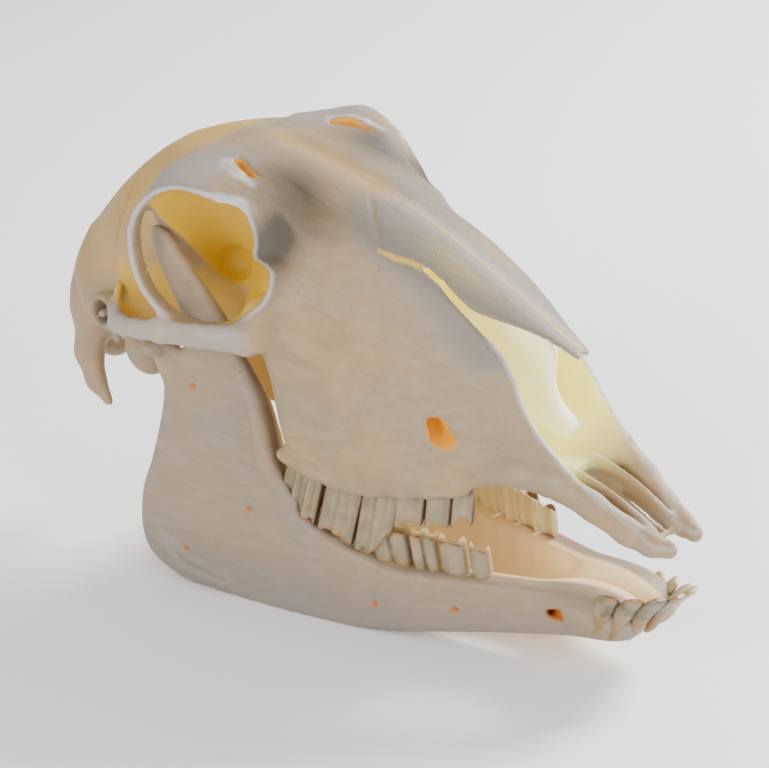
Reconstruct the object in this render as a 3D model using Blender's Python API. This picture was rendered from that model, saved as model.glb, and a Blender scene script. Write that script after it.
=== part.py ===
# A sheep skull with its lower jaw, standing on the straight underside of the jaw.
# All lengths below are millimetres and turn into metres when a mesh is written.
# X runs towards the snout, Y to the left side of the animal, Z up.
# Both sides are alike, so a bone is described for one side with y counted outwards.
import math

import bpy
import numpy as np

MM = 0.001

# driving dimensions
SKULL_SHIFT = -101.4         # moves the drawing so the middle of its length is at X = 0
FLOOR = 4.4                  # height in the drawing of the underside of the jaw
CRANIUM_CELL = 1.6           # size of the cells the bone shape is worked out in
JAW_CELL = 1.5
CRANIUM_TRIANGLES = 3850
JAW_TRIANGLES = 800
JAW_CLEARANCE = 1.1
SEAM = 0.15                  # half the gap between the two jaw bones at the chin
SOCKET_GAP = 0.35            # free space around a tooth in its socket
ORBIT_CENTRE = (73.2, 44.8, 126.2)
ORBIT_FACING = (0.322, 0.946, 0.05)
ORBIT_RADIUS = 22.4
RIM_RADIUS = 24.0
BONE_WALL = 3.4

for old in list(bpy.data.objects):
    bpy.data.objects.remove(old, do_unlink=True)


# shape helpers: each gives the distance to a simple form, negative inside it

def along(x, stations, values):
    """Smooth curve through values set at stations."""
    s = np.asarray(stations, float)
    v = np.asarray(values, float)
    x = np.clip(x, s[0], s[-1])
    i = np.clip(np.searchsorted(s, x, side="right") - 1, 0, len(s) - 2)
    slope = np.gradient(v, s, axis=0)
    h = s[i + 1] - s[i]
    t = (x - s[i]) / h
    if v.ndim == 2:
        h = h[..., None]
        t = t[..., None]
    a = (2 * t ** 3 - 3 * t ** 2 + 1) * v[i] + (t ** 3 - 2 * t ** 2 + t) * h * slope[i]
    b = (-2 * t ** 3 + 3 * t ** 2) * v[i + 1] + (t ** 3 - t ** 2) * h * slope[i + 1]
    return a + b


def blend(a, b, k):
    """Both forms, melted together over k."""
    h = np.clip(0.5 + 0.5 * (b - a) / k, 0, 1)
    return b + (a - b) * h - k * h * (1 - h)


def carve(a, b, k):
    """Form a with form b taken away, the edge rounded over k."""
    return -blend(-a, b, k)


def ball(p, centre, radii):
    x, y, z = ((p[i] - centre[i]) / radii[i] for i in range(3))
    far = np.sqrt(x * x + y * y + z * z)
    grow = np.sqrt((x / radii[0]) ** 2 + (y / radii[1]) ** 2 + (z / radii[2]) ** 2)
    return far * (far - 1) / np.maximum(grow, 1e-6)


def rod(p, a, b, ra, rb, flat=1.0):
    """Round bar from a to b with a radius at each end, flattened sideways by flat."""
    a = np.array(a, float) * (1, flat, 1)
    b = np.array(b, float) * (1, flat, 1)
    q = (p[0], p[1] * flat, p[2])
    d = b - a
    t = sum((q[i] - a[i]) * d[i] for i in range(3)) / max(float(d @ d), 1e-9)
    t = np.clip(t, 0, 1)
    gap = np.sqrt(sum((q[i] - a[i] - t * d[i]) ** 2 for i in range(3)))
    return gap - (ra + (rb - ra) * t)


def bar(p, points, flat=1.0, k=2.0):
    """Bent bar through points (x, y, z, radius)."""
    out = None
    for a, b in zip(points, points[1:]):
        piece = rod(p, a[:3], b[:3], a[3], b[3], flat)
        out = piece if out is None else blend(out, piece, k)
    return out


def outline_distance(u, v, points):
    """Distance to a closed flat outline, negative inside."""
    near = np.full(u.shape, 1e9)
    inside = np.zeros(u.shape, bool)
    for (au, av), (bu, bv) in zip(points, np.roll(points, -1, axis=0)):
        du, dv = bu - au, bv - av
        t = np.clip(((u - au) * du + (v - av) * dv) / (du * du + dv * dv + 1e-12), 0, 1)
        near = np.minimum(near, (u - au - t * du) ** 2 + (v - av - t * dv) ** 2)
        if abs(dv) > 1e-9:
            inside ^= ((v < av) != (v < bv)) & (u < au + (v - av) / dv * du)
    return np.where(inside, -1, 1) * np.sqrt(near)


def side_outline(p, points):
    """The same for an outline in the X Z plane, carried right across Y."""
    return outline_distance(p[0][:, 0, :], p[2][:, 0, :], np.asarray(points, float))[:, None, :]


def smooth_outline(points, parts=4):
    """Extra points on a smooth line through a closed outline."""
    p = np.asarray(points, float)
    n = len(p)
    at = np.arange(n * parts) / parts
    ring = np.vstack([p[-2:], p, p[:3]])
    return along(at + 2, np.arange(len(ring)), ring)


def sections(p, table, parts=4):
    """Body through half sections: rows of (x, [(y, z) from top to underside])."""
    xs = [row[0] for row in table]
    flat = np.array([np.array(row[1], float).ravel() for row in table])
    out = np.empty(p[0].shape)
    for i, x in enumerate(p[0][:, 0, 0]):
        half = along(np.array([x]), xs, flat)[0].reshape(-1, 2)
        n = len(half)
        fine = along(np.arange((n - 1) * parts + 1) / parts, np.arange(n), half)
        ring = np.vstack([fine, fine[::-1] * (-1, 1)])
        out[i] = outline_distance(p[1][i], p[2][i], ring)
    return out


def grid(low, high, cell):
    axes = [np.arange(a, b + cell, cell) for a, b in zip(low, high)]
    return np.meshgrid(*axes, indexing="ij")


# the surface where the distance is zero, found cell by cell; every cell is cut in six wedges
CORNER_WALKS = ((1, 2, 4, 1), (2, 4, 1, 1), (4, 1, 2, 1), (2, 1, 4, -1), (1, 4, 2, -1), (4, 2, 1, -1))
LONE = ((0, 1, 2, 3), (1, 0, 3, 2), (2, 0, 1, 3), (3, 0, 2, 1))
PAIRS = ((0, 1, 2, 3), (0, 2, 3, 1), (0, 3, 1, 2))


def surface(field, p):
    shape = np.array(field.shape)
    step = np.array([shape[1] * shape[2], shape[2], 1])
    values = field.ravel() + 1e-7
    inside = values < 0
    base = np.arange(values.size).reshape(field.shape)[:-1, :-1, :-1].ravel()
    jump = [sum(step[a] for a in range(3) if bits >> a & 1) for bits in range(8)]
    count = sum(inside[base + j].astype(np.int8) for j in jump)
    base = base[(count > 0) & (count < 8)]
    keys = []
    for a, b, c, turn in CORNER_WALKS:
        walk = (0, a, a | b, 7)
        corner = [base + jump[w] for w in walk]
        state = [inside[q] for q in corner]

        def crossing(rows, i, j):
            i, j = min(i, j), max(i, j)
            return corner[i][rows] * 8 + (walk[j] - walk[i])

        def add(rows, faces, flip):
            for face in faces:
                tri = np.stack([crossing(rows, i, j) for i, j in face], 1)
                keys.append(tri[:, ::-1] if flip else tri)

        for i, j, k, m in LONE:
            only = (state[i] != state[j]) & (state[j] == state[k]) & (state[k] == state[m])
            for is_in in (True, False):
                rows = np.nonzero(only & (state[i] == is_in))[0]
                add(rows, [((i, j), (i, k), (i, m))], (turn < 0) == is_in)
        for i, j, k, m in PAIRS:
            two = (state[i] == state[j]) & (state[k] == state[m]) & (state[i] != state[k])
            for is_in in (True, False):
                rows = np.nonzero(two & (state[i] == is_in))[0]
                quad = ((i, k), (i, m), (j, m), (j, k))
                add(rows, [quad[:3], (quad[0], quad[2], quad[3])], (turn < 0) == is_in)
    faces = np.vstack(keys)
    used, faces = np.unique(faces, return_inverse=True)
    faces = faces.reshape(-1, 3)
    low = used // 8
    high = low + np.array(jump)[used % 8]
    t = values[low] / (values[low] - values[high])
    points = np.stack([q.ravel() for q in p], 1)
    return points[low] + (points[high] - points[low]) * t[:, None], faces


def material(name, colour, roughness):
    mat = bpy.data.materials.new(name)
    mat.use_nodes = True
    shader = mat.node_tree.nodes["Principled BSDF"]
    shader.inputs["Base Color"].default_value = (*colour, 1)
    shader.inputs["Roughness"].default_value = roughness
    return mat


def outward(points, faces):
    """Faces turned so that they all look out of the solid."""
    q = np.asarray(points, float)
    volume = 0.0
    for face in faces:
        for k in range(1, len(face) - 1):
            volume += q[face[0]] @ np.cross(q[face[k]], q[face[k + 1]])
    return faces if volume > 0 else [tuple(f[::-1]) for f in faces]


def add_object(name, points, faces, mat=None):
    """Object from points in millimetres."""
    mesh = bpy.data.meshes.new(name)
    place = (np.asarray(points, float) + (SKULL_SHIFT, 0, -FLOOR)) * MM
    mesh.from_pydata([tuple(v) for v in place], [], [tuple(int(i) for i in f) for f in faces])
    mesh.validate()
    obj = bpy.data.objects.new(name, mesh)
    bpy.context.scene.collection.objects.link(obj)
    if mat:
        mesh.materials.append(mat)
        mesh.shade_smooth()
    return obj


def decimate(obj, triangles):
    """Even, then fewer triangles on a flowing bone surface."""
    even = obj.modifiers.new("even", "SMOOTH")
    even.factor = 0.5
    even.iterations = 4
    mod = obj.modifiers.new("fewer triangles", "DECIMATE")
    mod.ratio = triangles / len(obj.data.polygons)


def join(obj, tool, operation="UNION"):
    tool.hide_render = True
    tool.display_type = "WIRE"
    mod = obj.modifiers.new(tool.name, "BOOLEAN")
    mod.operation = operation
    mod.solver = "MANIFOLD"
    mod.object = tool


# one half of the lower jaw

JAW_EDGE = (
    (40.5, 74), (37, 60), (33, 48), (28, 38), (25.3, 29), (24.4, 20), (26.5, 12.5), (33, 7.5),
    (44, 4), (60, 3.4), (97, 3.4), (116, 4.2), (134, 7), (150, 9.6), (168, 12.2), (190, 15.6),
    (206, 18.5), (212.5, 23), (210, 28.5), (202, 32), (188, 31), (171, 29.4), (158, 28.8), (140, 28.2),
    (126, 28.4), (113, 31.6), (100, 36.5), (90, 43.5), (85, 55), (83, 67), (80.5, 78), (75, 88),
    (69, 101), (60, 114), (50, 124), (42, 129), (38.5, 127.5), (43, 119), (50, 107), (53.5, 98),
    (52, 91), (48, 89), (43, 92), (38.5, 91.5), (37, 87), (39, 80))
JAW_X = (22, 45, 72, 90, 100, 113, 126, 140, 158, 171, 185, 198, 208)
JAW_Y = (38, 36.6, 33.2, 30, 28, 26, 23.5, 20.5, 15.6, 12.4, 9.6, 7.8, 7)
JAW_HALF = (3.2, 3.2, 4.4, 5.6, 6, 6.1, 6, 5.6, 5, 4.6, 4.4, 5, 5)


def jaw_field(p):
    x, y, z = p
    middle = along(x, JAW_X, JAW_Y)
    half = along(x, JAW_X, JAW_HALF) * (1 - 0.35 * np.clip((z - 50) / 40, 0, 1))
    flat = side_outline(p, smooth_outline(JAW_EDGE)) + 2.4
    side = np.abs(y - middle) - half + 2.4
    jaw = np.sqrt(np.maximum(flat, 0) ** 2 + np.maximum(side, 0) ** 2) - 2.4
    jaw = jaw + np.minimum(np.maximum(flat, side), 0)
    jaw = blend(jaw, ball(p, (41.5, 36, 89), (4.8, 8.5, 3.8)), 2)
    chin = ball(p, (193, 6.5, 25.2), (19.5, 10.4, 7.4))
    jaw = blend(jaw, chin, 4)
    pit = ball(p, (56, 42, 62), (18, 4.5, 26))
    jaw = carve(jaw, pit, 4)
    return np.maximum(jaw, SEAM - y)


# the cranium

# half sections from the back of the head to the nose:
# crown of the roof, roof, roof edge, upper side, side, lower side, outer rim, inner rim, vault, middle
HEAD = (
    (-16, ((0, 111), (12, 109), (22, 104), (28, 97), (31, 91), (31, 86), (26, 78), (19, 73), (10, 71), (0, 71))),
    (-4, ((0, 124), (12, 122), (22, 113), (29, 102.5), (32, 95), (33, 87), (28, 79), (20, 75), (10, 74), (0, 74))),
    (10, ((0, 136.5), (13, 134), (24.5, 124), (31, 110), (32.5, 101), (31, 92), (26, 83), (18, 77), (10, 76), (0, 76))),
    (27, ((0, 147.5), (14, 145), (27, 134), (32.5, 120), (31.5, 107), (28, 96), (22, 87), (15, 81), (8, 80), (0, 80))),
    (40, ((0, 151.5), (17, 149.5), (31, 142), (33, 129), (28.5, 115), (24, 102), (18, 92), (12, 86), (7, 84), (0, 84))),
    (52, ((0, 153), (20, 151.3), (42, 146.5), (43, 138), (31, 125), (20, 110), (15, 97), (12, 88), (7, 86), (0, 86))),
    (68, ((0, 153), (22, 151.5), (40, 150), (44, 140), (32, 126), (22, 110), (16, 97), (12, 87), (7, 84), (0, 84))),
    (82, ((0, 151.5), (20, 149.8), (35, 147.5), (40, 138), (41, 122), (40.5, 108), (31, 92), (26, 74), (14, 76), (0, 80))),
    (94, ((0, 148.5), (16, 147), (28, 142.5), (37, 132), (40.5, 119), (41.5, 106), (39, 90), (35.5, 61), (24, 62), (0, 76))),
    (108, ((0, 144), (13, 142), (24, 136.3), (33.5, 124), (38.5, 112), (39.8, 101), (37.5, 84), (35, 58), (22, 60), (0, 74))),
    (122, ((0, 138), (10.5, 136.4), (19.5, 130), (27.5, 116.5), (33, 105), (35, 93), (34.5, 75), (33, 57), (20, 59), (0, 72))),
    (136, ((0, 132), (10, 130.4), (18, 124.8), (23.5, 111), (27.5, 99), (30, 86), (30.3, 72), (29.5, 58), (17, 60), (0, 70))),
    (148, ((0, 125.8), (9.8, 124.2), (16.2, 119), (20, 107), (23.5, 95), (25.5, 82), (26, 70), (25, 59.5), (14, 61), (0, 68))),
    (160, ((0, 119.2), (8, 117.8), (13.8, 113.2), (17, 104), (20.3, 94), (22, 82), (21.5, 72), (20, 62), (11, 63), (0, 66))),
    (172, ((0, 112.2), (6.5, 111), (11.5, 107), (15, 99), (18, 90), (19, 80), (18.5, 71), (16.5, 64.5), (9, 64), (0, 65))),
    (186, ((0, 104), (5.5, 103), (9, 100), (13.5, 92), (15.5, 84), (16, 76), (15.5, 70), (14, 64), (8, 63), (0, 63))),
)
# edge of the bone in front: nasal notch at the top, then the long slope to the tip
NOTCH = ((143, 150), (143, 125), (150, 120), (158, 114), (166, 108), (171, 102), (173.6, 96.5), (177.5, 83.5),
         (184.4, 75), (196, 67), (209, 58.5), (216, 53), (240, 51), (240, 150))
NASAL_X = (141, 150, 157, 164, 171, 178, 184, 190)
NASAL_W = (17.6, 15.8, 14, 12, 10.4, 8.8, 7, 4.6)
NASAL_TIP = 187


def cranium_field(p):
    x, y, z = p
    head = sections(p, HEAD)
    back = -(x + 7.5) + 0.2 * (97 - z) - 0.004 * y * y
    head = carve(head, -back, 5)
    # orbit: a wide round hollow that narrows towards the middle of the head
    inner = rod(p, (73.4, 46, 126.2), (57, 15, 112), ORBIT_RADIUS, 7)
    head = carve(head, inner, 1.5)
    n = np.array(ORBIT_FACING)
    n = n / np.linalg.norm(n)
    c = ORBIT_CENTRE
    out = sum((p[i] - c[i]) * n[i] for i in range(3))
    wide = np.sqrt(sum((p[i] - c[i] - out * n[i]) ** 2 for i in range(3)))
    rim = np.sqrt((wide - RIM_RADIUS) ** 2 + (0.45 * (out + 2.5)) ** 2) - 1.8
    head = blend(head, rim, 3)
    # cheek arch behind and below the orbit
    arch = bar(p, ((99, 39, 106, 5), (86, 42.5, 102, 5.2), (70, 47.5, 101.5, 4), (55, 50, 101, 4),
                   (41, 45.5, 98, 3.8), (28, 40, 95, 4.6), (16, 33, 92, 5)), 1.7)
    head = blend(head, arch, 3)
    # facial ridge on the cheek
    ridge = bar(p, ((103, 40, 106, 3), (116, 36, 101, 3.4), (119.5, 34, 88, 3.4), (112, 33.5, 70, 2.5)))
    head = blend(head, ridge, 7)
    # ear tube, bulla, hook beside the condyle, condyle, crest of the neck
    head = blend(head, rod(p, (15, 26, 91), (13.5, 35.5, 92.5), 6, 4.6), 3)
    head = blend(head, ball(p, (17, 21, 77), (9, 7, 10)), 3)
    hook = bar(p, ((-3, 27, 84, 7), (-4.5, 29, 73, 5.6), (-1, 30.5, 64, 4), (4.5, 31, 58, 2)), 1.35)
    head = blend(head, hook, 3)
    head = blend(head, ball(p, (-9.5, 13, 77), (9, 8.5, 12)), 3)
    crest = bar(p, ((-11.5, 0, 112.5, 3), (-9, 14, 110, 3), (-3, 26, 103, 3), (5, 32.5, 96, 3.2)))
    head = blend(head, crest, 4)
    head = carve(head, rod(p, (-40, 0, 83), (-2, 0, 86), 9, 8), 2)
    # palatine and pterygoid walls behind the palate
    wall = np.maximum(np.abs(y - 12.5) - 1.5, side_outline(
        p, ((50, 86), (52, 74), (60, 66), (75, 64), (90, 64), (90, 92), (56, 92))))
    head = blend(head, wall, 3)
    # nasal hollow, open in front and above
    floor = along(x, (90, 130, 160, 190), (80, 76, 70, 67)) + 7 * np.clip((y - 9) / 6, 0, 1)
    hollow = np.maximum(sections(p, HEAD) + BONE_WALL, floor - z)
    hollow = np.maximum(hollow, 116 - x)
    head = carve(head, hollow, 1.5)
    # everything in front of the notch goes, except the nasal roof with its free tips
    front = side_outline(p, NOTCH)
    front = np.maximum(front, along(x, NASAL_X, NASAL_W) - y)
    head = carve(head, front, 1.5)
    head = np.maximum(head, x - NASAL_TIP + 0.4 * np.abs(y - 4.2))
    # premaxilla: outer bar and inner bar of each side
    outer = bar(p, ((158, 19, 68, 5), (172, 17.8, 69.5, 5.2), (184, 15.4, 68.5, 5), (196, 12.8, 62, 4.6),
                    (206, 10, 55.5, 4.4), (213, 8, 52.5, 4), (218.5, 6.4, 51.5, 3)), 1.35)
    inner_bar = bar(p, ((160, 2.6, 66.5, 2.2), (186, 2.8, 62.5, 2), (206, 3.6, 54.5, 2), (213, 5.6, 52.3, 2.4)))
    head = blend(head, outer, 2)
    head = blend(head, inner_bar, 2)
    # room for the jaw bone
    return np.maximum(head, JAW_CLEARANCE - jaw_field(p))


# teeth, from the back molar to the front premolar

TOOTH_NAMES = ("molar_3", "molar_2", "molar_1", "premolar_4", "premolar_3", "premolar_2")
UPPER_ENDS = (87, 103, 117, 129.5, 139, 148.2, 157)
LOWER_ENDS = (84.5, 104, 117.5, 129.5, 139, 148.2, 156.5)
LOBES = (3, 2, 2, 1, 1, 1)
LOWER_LOBES = (3, 2, 2, 2, 1, 1)
ROW_X = (84, 104, 117, 130, 141, 158)
UPPER_Y = (30.2, 28.2, 26.4, 23.9, 20.8, 15.3)
LOWER_Y = (29.6, 27.2, 25, 22.2, 19.7, 15.3)
BITE_Z = (50, 45, 42.6, 41.6, 41.4, 41.8)
BITE_OPEN = (0.8, 0.8, 1, 1.6, 3.6, 8.5)
UPPER_GUM = (62, 59.5, 58.5, 59, 60, 62)
LOWER_GUM = (48, 35.5, 31, 28.3, 27.5, 28.2)
BITE_SLOPE = 0.5             # the biting surface falls this much per mm outwards
TOOTH_SPACE = 0.15           # half the space between neighbours in a row


def row_point(x, row_y):
    y = float(along(np.array([x]), ROW_X, row_y)[0])
    ahead = float(along(np.array([x + 0.5]), ROW_X, row_y)[0])
    turn = math.atan2(ahead - y, 0.5)
    return y, turn


def tooth(name, ends, row_y, gum, width, lobes, upper, sign, mat):
    """Grinding tooth: a straight root block and a lobed crown with a worn, hollowed top."""
    x0, x1 = ends[0] + TOOTH_SPACE, ends[1] - TOOTH_SPACE
    steps = 2 * lobes + 1 if lobes > 1 else 4
    ring = []
    for face in (1, -1):
        for k in range(steps):
            t = k / (steps - 1)
            t = t if face > 0 else 1 - t
            bulge = 0.82 + 0.18 * abs(math.sin(math.pi * lobes * t)) if 0 < t < 1 else 0.74
            ring.append((x0 + (x1 - x0) * t, face * bulge * width / 2, t))
    points = []
    up = 1 if upper else -1
    middle_x = (x0 + x1) / 2
    gum_z = float(along(np.array([middle_x]), ROW_X, gum)[0])
    deep = gum_z + up * 9
    for level in range(5):
        for x, off, t in ring:
            y, turn = row_point(x, row_y)
            inset = 0.93 if level < 2 else 1.0
            if level == 4:
                inset = 0.5
            yy = y + off * inset * math.cos(turn)
            xx = middle_x + (x - middle_x) * (1 if level < 4 else 0.82) - off * inset * math.sin(turn)
            bite = float(along(np.array([x]), ROW_X, BITE_Z)[0])
            bite += up * float(along(np.array([x]), ROW_X, BITE_OPEN)[0]) / 2
            bite -= BITE_SLOPE * (yy - float(along(np.array([x]), ROW_X, LOWER_Y)[0]))
            cusp = 1.1 * abs(math.sin(math.pi * lobes * t))
            if level == 0:
                zz = deep
            elif level == 1:
                zz = gum_z + up * 1.5
            elif level == 2:
                zz = 0.45 * gum_z + 0.55 * bite
            elif level == 3:
                zz = bite + up * (1.1 - cusp)
            else:
                zz = bite + up * 1.9
            points.append((xx, sign * yy, zz))
    n = len(ring)
    faces = []
    for level in range(4):
        for k in range(n):
            a, b = level * n + k, level * n + (k + 1) % n
            faces.append((a, b, b + n, a + n))
    half = n // 2
    for level, flip in ((0, True), (4, False)):
        for k in range(half - 1):
            a, b = level * n + k, level * n + k + 1
            c, d = level * n + n - 2 - k, level * n + n - 1 - k
            face = (a, b, c, d)
            faces.append(face[::-1] if flip else face)
    return add_object(name, points, outward(points, faces), mat)


def trough(name, ends, row_y, gum, width, upper, sign):
    """Solid block that makes room for a row of teeth."""
    up = 1 if upper else -1
    xs = np.linspace(ends[0] - 0.6, ends[-1] + 0.6, 12)
    points = []
    for x in xs:
        y, turn = row_point(x, row_y)
        w = np.interp(x, (ends[0], ends[3] - 1, ends[3] + 1, ends[-1]), width) / 2 + SOCKET_GAP
        near = along(np.array([x - 10, x, x + 10]), ROW_X, gum)
        bottom = up * float(np.max(up * near)) + up * 9.6
        for off in (w, -w):
            for z in (bottom, float(near[1]) - up * 9):
                points.append((x - off * math.sin(turn), sign * (y + off * math.cos(turn)), z))
    faces = [(0, 1, 3, 2)]
    for k in range(len(xs) - 1):
        a, b = 4 * k, 4 * k + 4
        faces += [(a + 1, a, b, b + 1), (a, a + 2, b + 2, b), (a + 2, a + 3, b + 3, b + 2), (a + 3, a + 1, b + 1, b + 3)]
    last = 4 * len(xs) - 4
    faces.append((last + 2, last + 3, last + 1, last))
    return add_object(name, points, outward(points, faces))


INCISORS = (
    # front teeth, grown into the jaw bone: root end, gum, crown middle, tip, half width of the crown
    ((197, 2.4, 24), (211, 3.1, 23.5), (216.6, 3.4, 27.6), (219.6, 3.5, 34.5), 3.0),
    ((196, 6.3, 24), (208.5, 8.4, 23), (214, 9.9, 27.2), (217.2, 10.6, 34.2), 3.1),
    ((193, 10, 24), (204.5, 12.4, 23.2), (208.6, 14.5, 27.2), (211.5, 15.7, 34), 3.1),
    ((189, 13, 24), (198.3, 14.9, 24.4), (201.8, 17.1, 28.2), (204.1, 18.5, 34), 3.1),
)


def peg(name, number, sign):
    """Front tooth: a round root that widens into a thin spoon-shaped crown."""
    root, gum, mid, tip, wide = INCISORS[number]
    stations = [np.array(q, float) for q in (root, gum, mid, tip)]
    size = [(1.5, 1.5), (1.9, 1.9), (wide, 1.5), (wide * 0.93, 0.55)]
    across = tip_across(number)
    points = []
    for k, (centre, (w, t)) in enumerate(zip(stations, size)):
        ahead = stations[min(k + 1, len(stations) - 1)] - stations[max(k - 1, 0)]
        ahead = ahead / np.linalg.norm(ahead)
        side = across - ahead * (across @ ahead)
        side = side / np.linalg.norm(side)
        front = np.cross(side, ahead)
        for a in range(10):
            c, s = math.cos(a * math.pi / 5), math.sin(a * math.pi / 5)
            q = centre + side * w * c + front * t * s
            points.append((q[0], sign * q[1], q[2]))
    faces = []
    for level in range(len(stations) - 1):
        for k in range(10):
            a, b = level * 10 + k, level * 10 + (k + 1) % 10
            faces.append((a, b, b + 10, a + 10))
    faces.append(tuple(range(9, -1, -1)))
    end = 10 * (len(stations) - 1)
    faces.append(tuple(range(end, end + 10)))
    return add_object(name, points, outward(points, faces))


def tip_across(number):
    """Direction along the cutting edge, following the curve of the front teeth."""
    angle = math.radians((8, 28, 48, 62)[number])
    return np.array((-math.sin(angle), math.cos(angle), 0.0))


bone_head = material("bone cranium", (0.69, 0.64, 0.54), 0.55)
p = grid((-28, -64, 46), (226, 64, 162), CRANIUM_CELL)
p[1] = p[1] - 0.5 * (p[1][0, 0, 0] + p[1][0, -1, 0])
points, faces = surface(cranium_field((p[0], np.abs(p[1]), p[2])), p)
cranium = add_object("cranium", points, faces, bone_head)
decimate(cranium, CRANIUM_TRIANGLES)

for side, sign in (("right", -1), ("left", 1)):
    bone_jaw = material("bone jaw " + side, (0.66, 0.6, 0.53), 0.55)
    p = grid((16, -1.5, -4), (220, 52, 136), JAW_CELL)
    points, faces = surface(jaw_field(p), p)
    if sign < 0:
        points = points * (1, -1, 1)
        faces = faces[:, ::-1]
    jaw = add_object("mandible_" + side, points, faces, bone_jaw)
    decimate(jaw, JAW_TRIANGLES)
    ground = add_object("ground " + side, [(0, -60, -9), (240, -60, -9), (240, 60, -9), (0, 60, -9),
                        (0, -60, FLOOR), (240, -60, FLOOR), (240, 60, FLOOR), (0, 60, FLOOR)],
                        [(3, 2, 1, 0), (4, 5, 6, 7), (0, 1, 5, 4), (1, 2, 6, 5), (2, 3, 7, 6), (3, 0, 4, 7)])
    join(jaw, ground, "DIFFERENCE")
    for k in range(4):
        join(jaw, peg("incisor " + str(k + 1) + " " + side, k, sign))
    lower = trough("lower trough " + side, LOWER_ENDS, LOWER_Y, LOWER_GUM, (7.8, 7.8, 6.2, 6.2), False, sign)
    upper = trough("upper trough " + side, UPPER_ENDS, UPPER_Y, UPPER_GUM, (10, 10, 8.6, 8.6), True, sign)
    join(jaw, lower, "DIFFERENCE")
    join(cranium, upper, "DIFFERENCE")
    for k, name in enumerate(TOOTH_NAMES):
        enamel = material("tooth " + side + " upper " + name, (0.62, 0.56, 0.44), 0.4)
        tooth("upper_" + name + "_" + side, UPPER_ENDS[k:k + 2], UPPER_Y, UPPER_GUM,
              (10, 8.6)[k > 2], LOBES[k], True, sign, enamel)
        enamel = material("tooth " + side + " lower " + name, (0.64, 0.57, 0.42), 0.4)
        tooth("lower_" + name + "_" + side, LOWER_ENDS[k:k + 2], LOWER_Y, LOWER_GUM,
              (7.8, 6.2)[k > 2], LOWER_LOBES[k], False, sign, enamel)
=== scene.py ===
# %% [markdown]
# # A sheep skull standing on its lower jaw
# The skull is one light, thin-walled bone with two jaw bones under it and thirty two teeth.
# The solid model gives the sizes and the places; here every bone and tooth is made again, finer,
# inside those solids, and gets a finish that follows the light, dry look of cleaned bone.

# %% Load the solid model
import math

import bpy
import numpy as np
from mathutils import Matrix, Vector


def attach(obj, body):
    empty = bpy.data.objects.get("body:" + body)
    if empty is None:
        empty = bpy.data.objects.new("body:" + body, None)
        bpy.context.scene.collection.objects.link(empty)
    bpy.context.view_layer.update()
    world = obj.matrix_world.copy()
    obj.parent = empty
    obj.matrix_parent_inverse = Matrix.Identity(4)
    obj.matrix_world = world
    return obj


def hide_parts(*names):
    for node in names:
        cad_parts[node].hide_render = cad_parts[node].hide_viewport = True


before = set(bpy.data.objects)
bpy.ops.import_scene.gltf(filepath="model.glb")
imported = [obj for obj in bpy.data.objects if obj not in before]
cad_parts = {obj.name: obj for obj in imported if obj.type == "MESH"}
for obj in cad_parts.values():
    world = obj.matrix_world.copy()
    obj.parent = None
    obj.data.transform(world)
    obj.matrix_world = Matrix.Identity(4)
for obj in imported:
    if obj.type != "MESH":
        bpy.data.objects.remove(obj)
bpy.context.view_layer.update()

# %% [markdown]
# ## Camera
# The skull was seen from the front right and a little above, with a long lens, so its sides stay
# almost parallel. A camera is a position, a direction and a roll: the three axes are worked out
# from the two angles and set as one matrix, which is easier to trust than three turns.

# %% Camera
AZIMUTH = math.radians(43.5)
ELEVATION = math.radians(23.286)
ROLL = math.radians(-4.639)
LENS_PIXELS = 2680.5
IMAGE_WIDTH = 769
DISTANCE = 0.8533
AIM = Vector((0.00206, 0.0, 0.07096))

back = Vector((math.sin(AZIMUTH) * math.cos(ELEVATION), -math.cos(AZIMUTH) * math.cos(ELEVATION),
               math.sin(ELEVATION)))
level = Vector((math.cos(AZIMUTH), math.sin(AZIMUTH), 0.0))
upward = back.cross(level)
right = math.cos(ROLL) * level + math.sin(ROLL) * upward
top = math.cos(ROLL) * upward - math.sin(ROLL) * level

lens = bpy.data.cameras.new("camera")
lens.sensor_fit = "HORIZONTAL"
lens.sensor_width = 36.0
lens.lens = LENS_PIXELS * 36.0 / IMAGE_WIDTH
lens.clip_start = 0.05
lens.clip_end = 20.0
camera = bpy.data.objects.new("camera", lens)
bpy.context.scene.collection.objects.link(camera)
place = AIM + back * DISTANCE
camera.matrix_world = Matrix(((right.x, top.x, back.x, place.x), (right.y, top.y, back.y, place.y),
                              (right.z, top.z, back.z, place.z), (0, 0, 0, 1)))
bpy.context.scene.camera = camera
print("lens of", round(lens.lens, 1), "mm at", round(DISTANCE, 3), "m")

# %% [markdown]
# ## Floor and light
# Cleaned bone is pale, so it is lit softly: a wide lamp over the left shoulder gives the form, a
# second one in front opens the shadows, and one behind lights the thin rims. The floor is a
# plain pale sheet.

# %% Floor and light
def plain_material(name, colour, roughness):
    made = bpy.data.materials.new(name)
    made.use_nodes = True
    shader = made.node_tree.nodes["Principled BSDF"]
    shader.inputs["Base Color"].default_value = (*colour, 1)
    shader.inputs["Roughness"].default_value = roughness
    return made


def lamp(name, where, aim, size, watts, colour):
    light = bpy.data.lights.new(name, "AREA")
    light.shape = "DISK"
    light.size = size
    light.energy = watts
    light.color = colour
    obj = bpy.data.objects.new(name, light)
    obj.location = where
    obj.rotation_euler = (Vector(aim) - Vector(where)).to_track_quat("-Z", "Y").to_euler()
    bpy.context.scene.collection.objects.link(obj)
    return obj


bpy.ops.object.select_all(action="DESELECT")
bpy.ops.mesh.primitive_plane_add(size=6.0, location=(0, 0, -0.0002))
floor = bpy.context.object
floor.name = "floor"
floor.data.materials.append(plain_material("pale floor", (0.93, 0.93, 0.93), 0.6))

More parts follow.
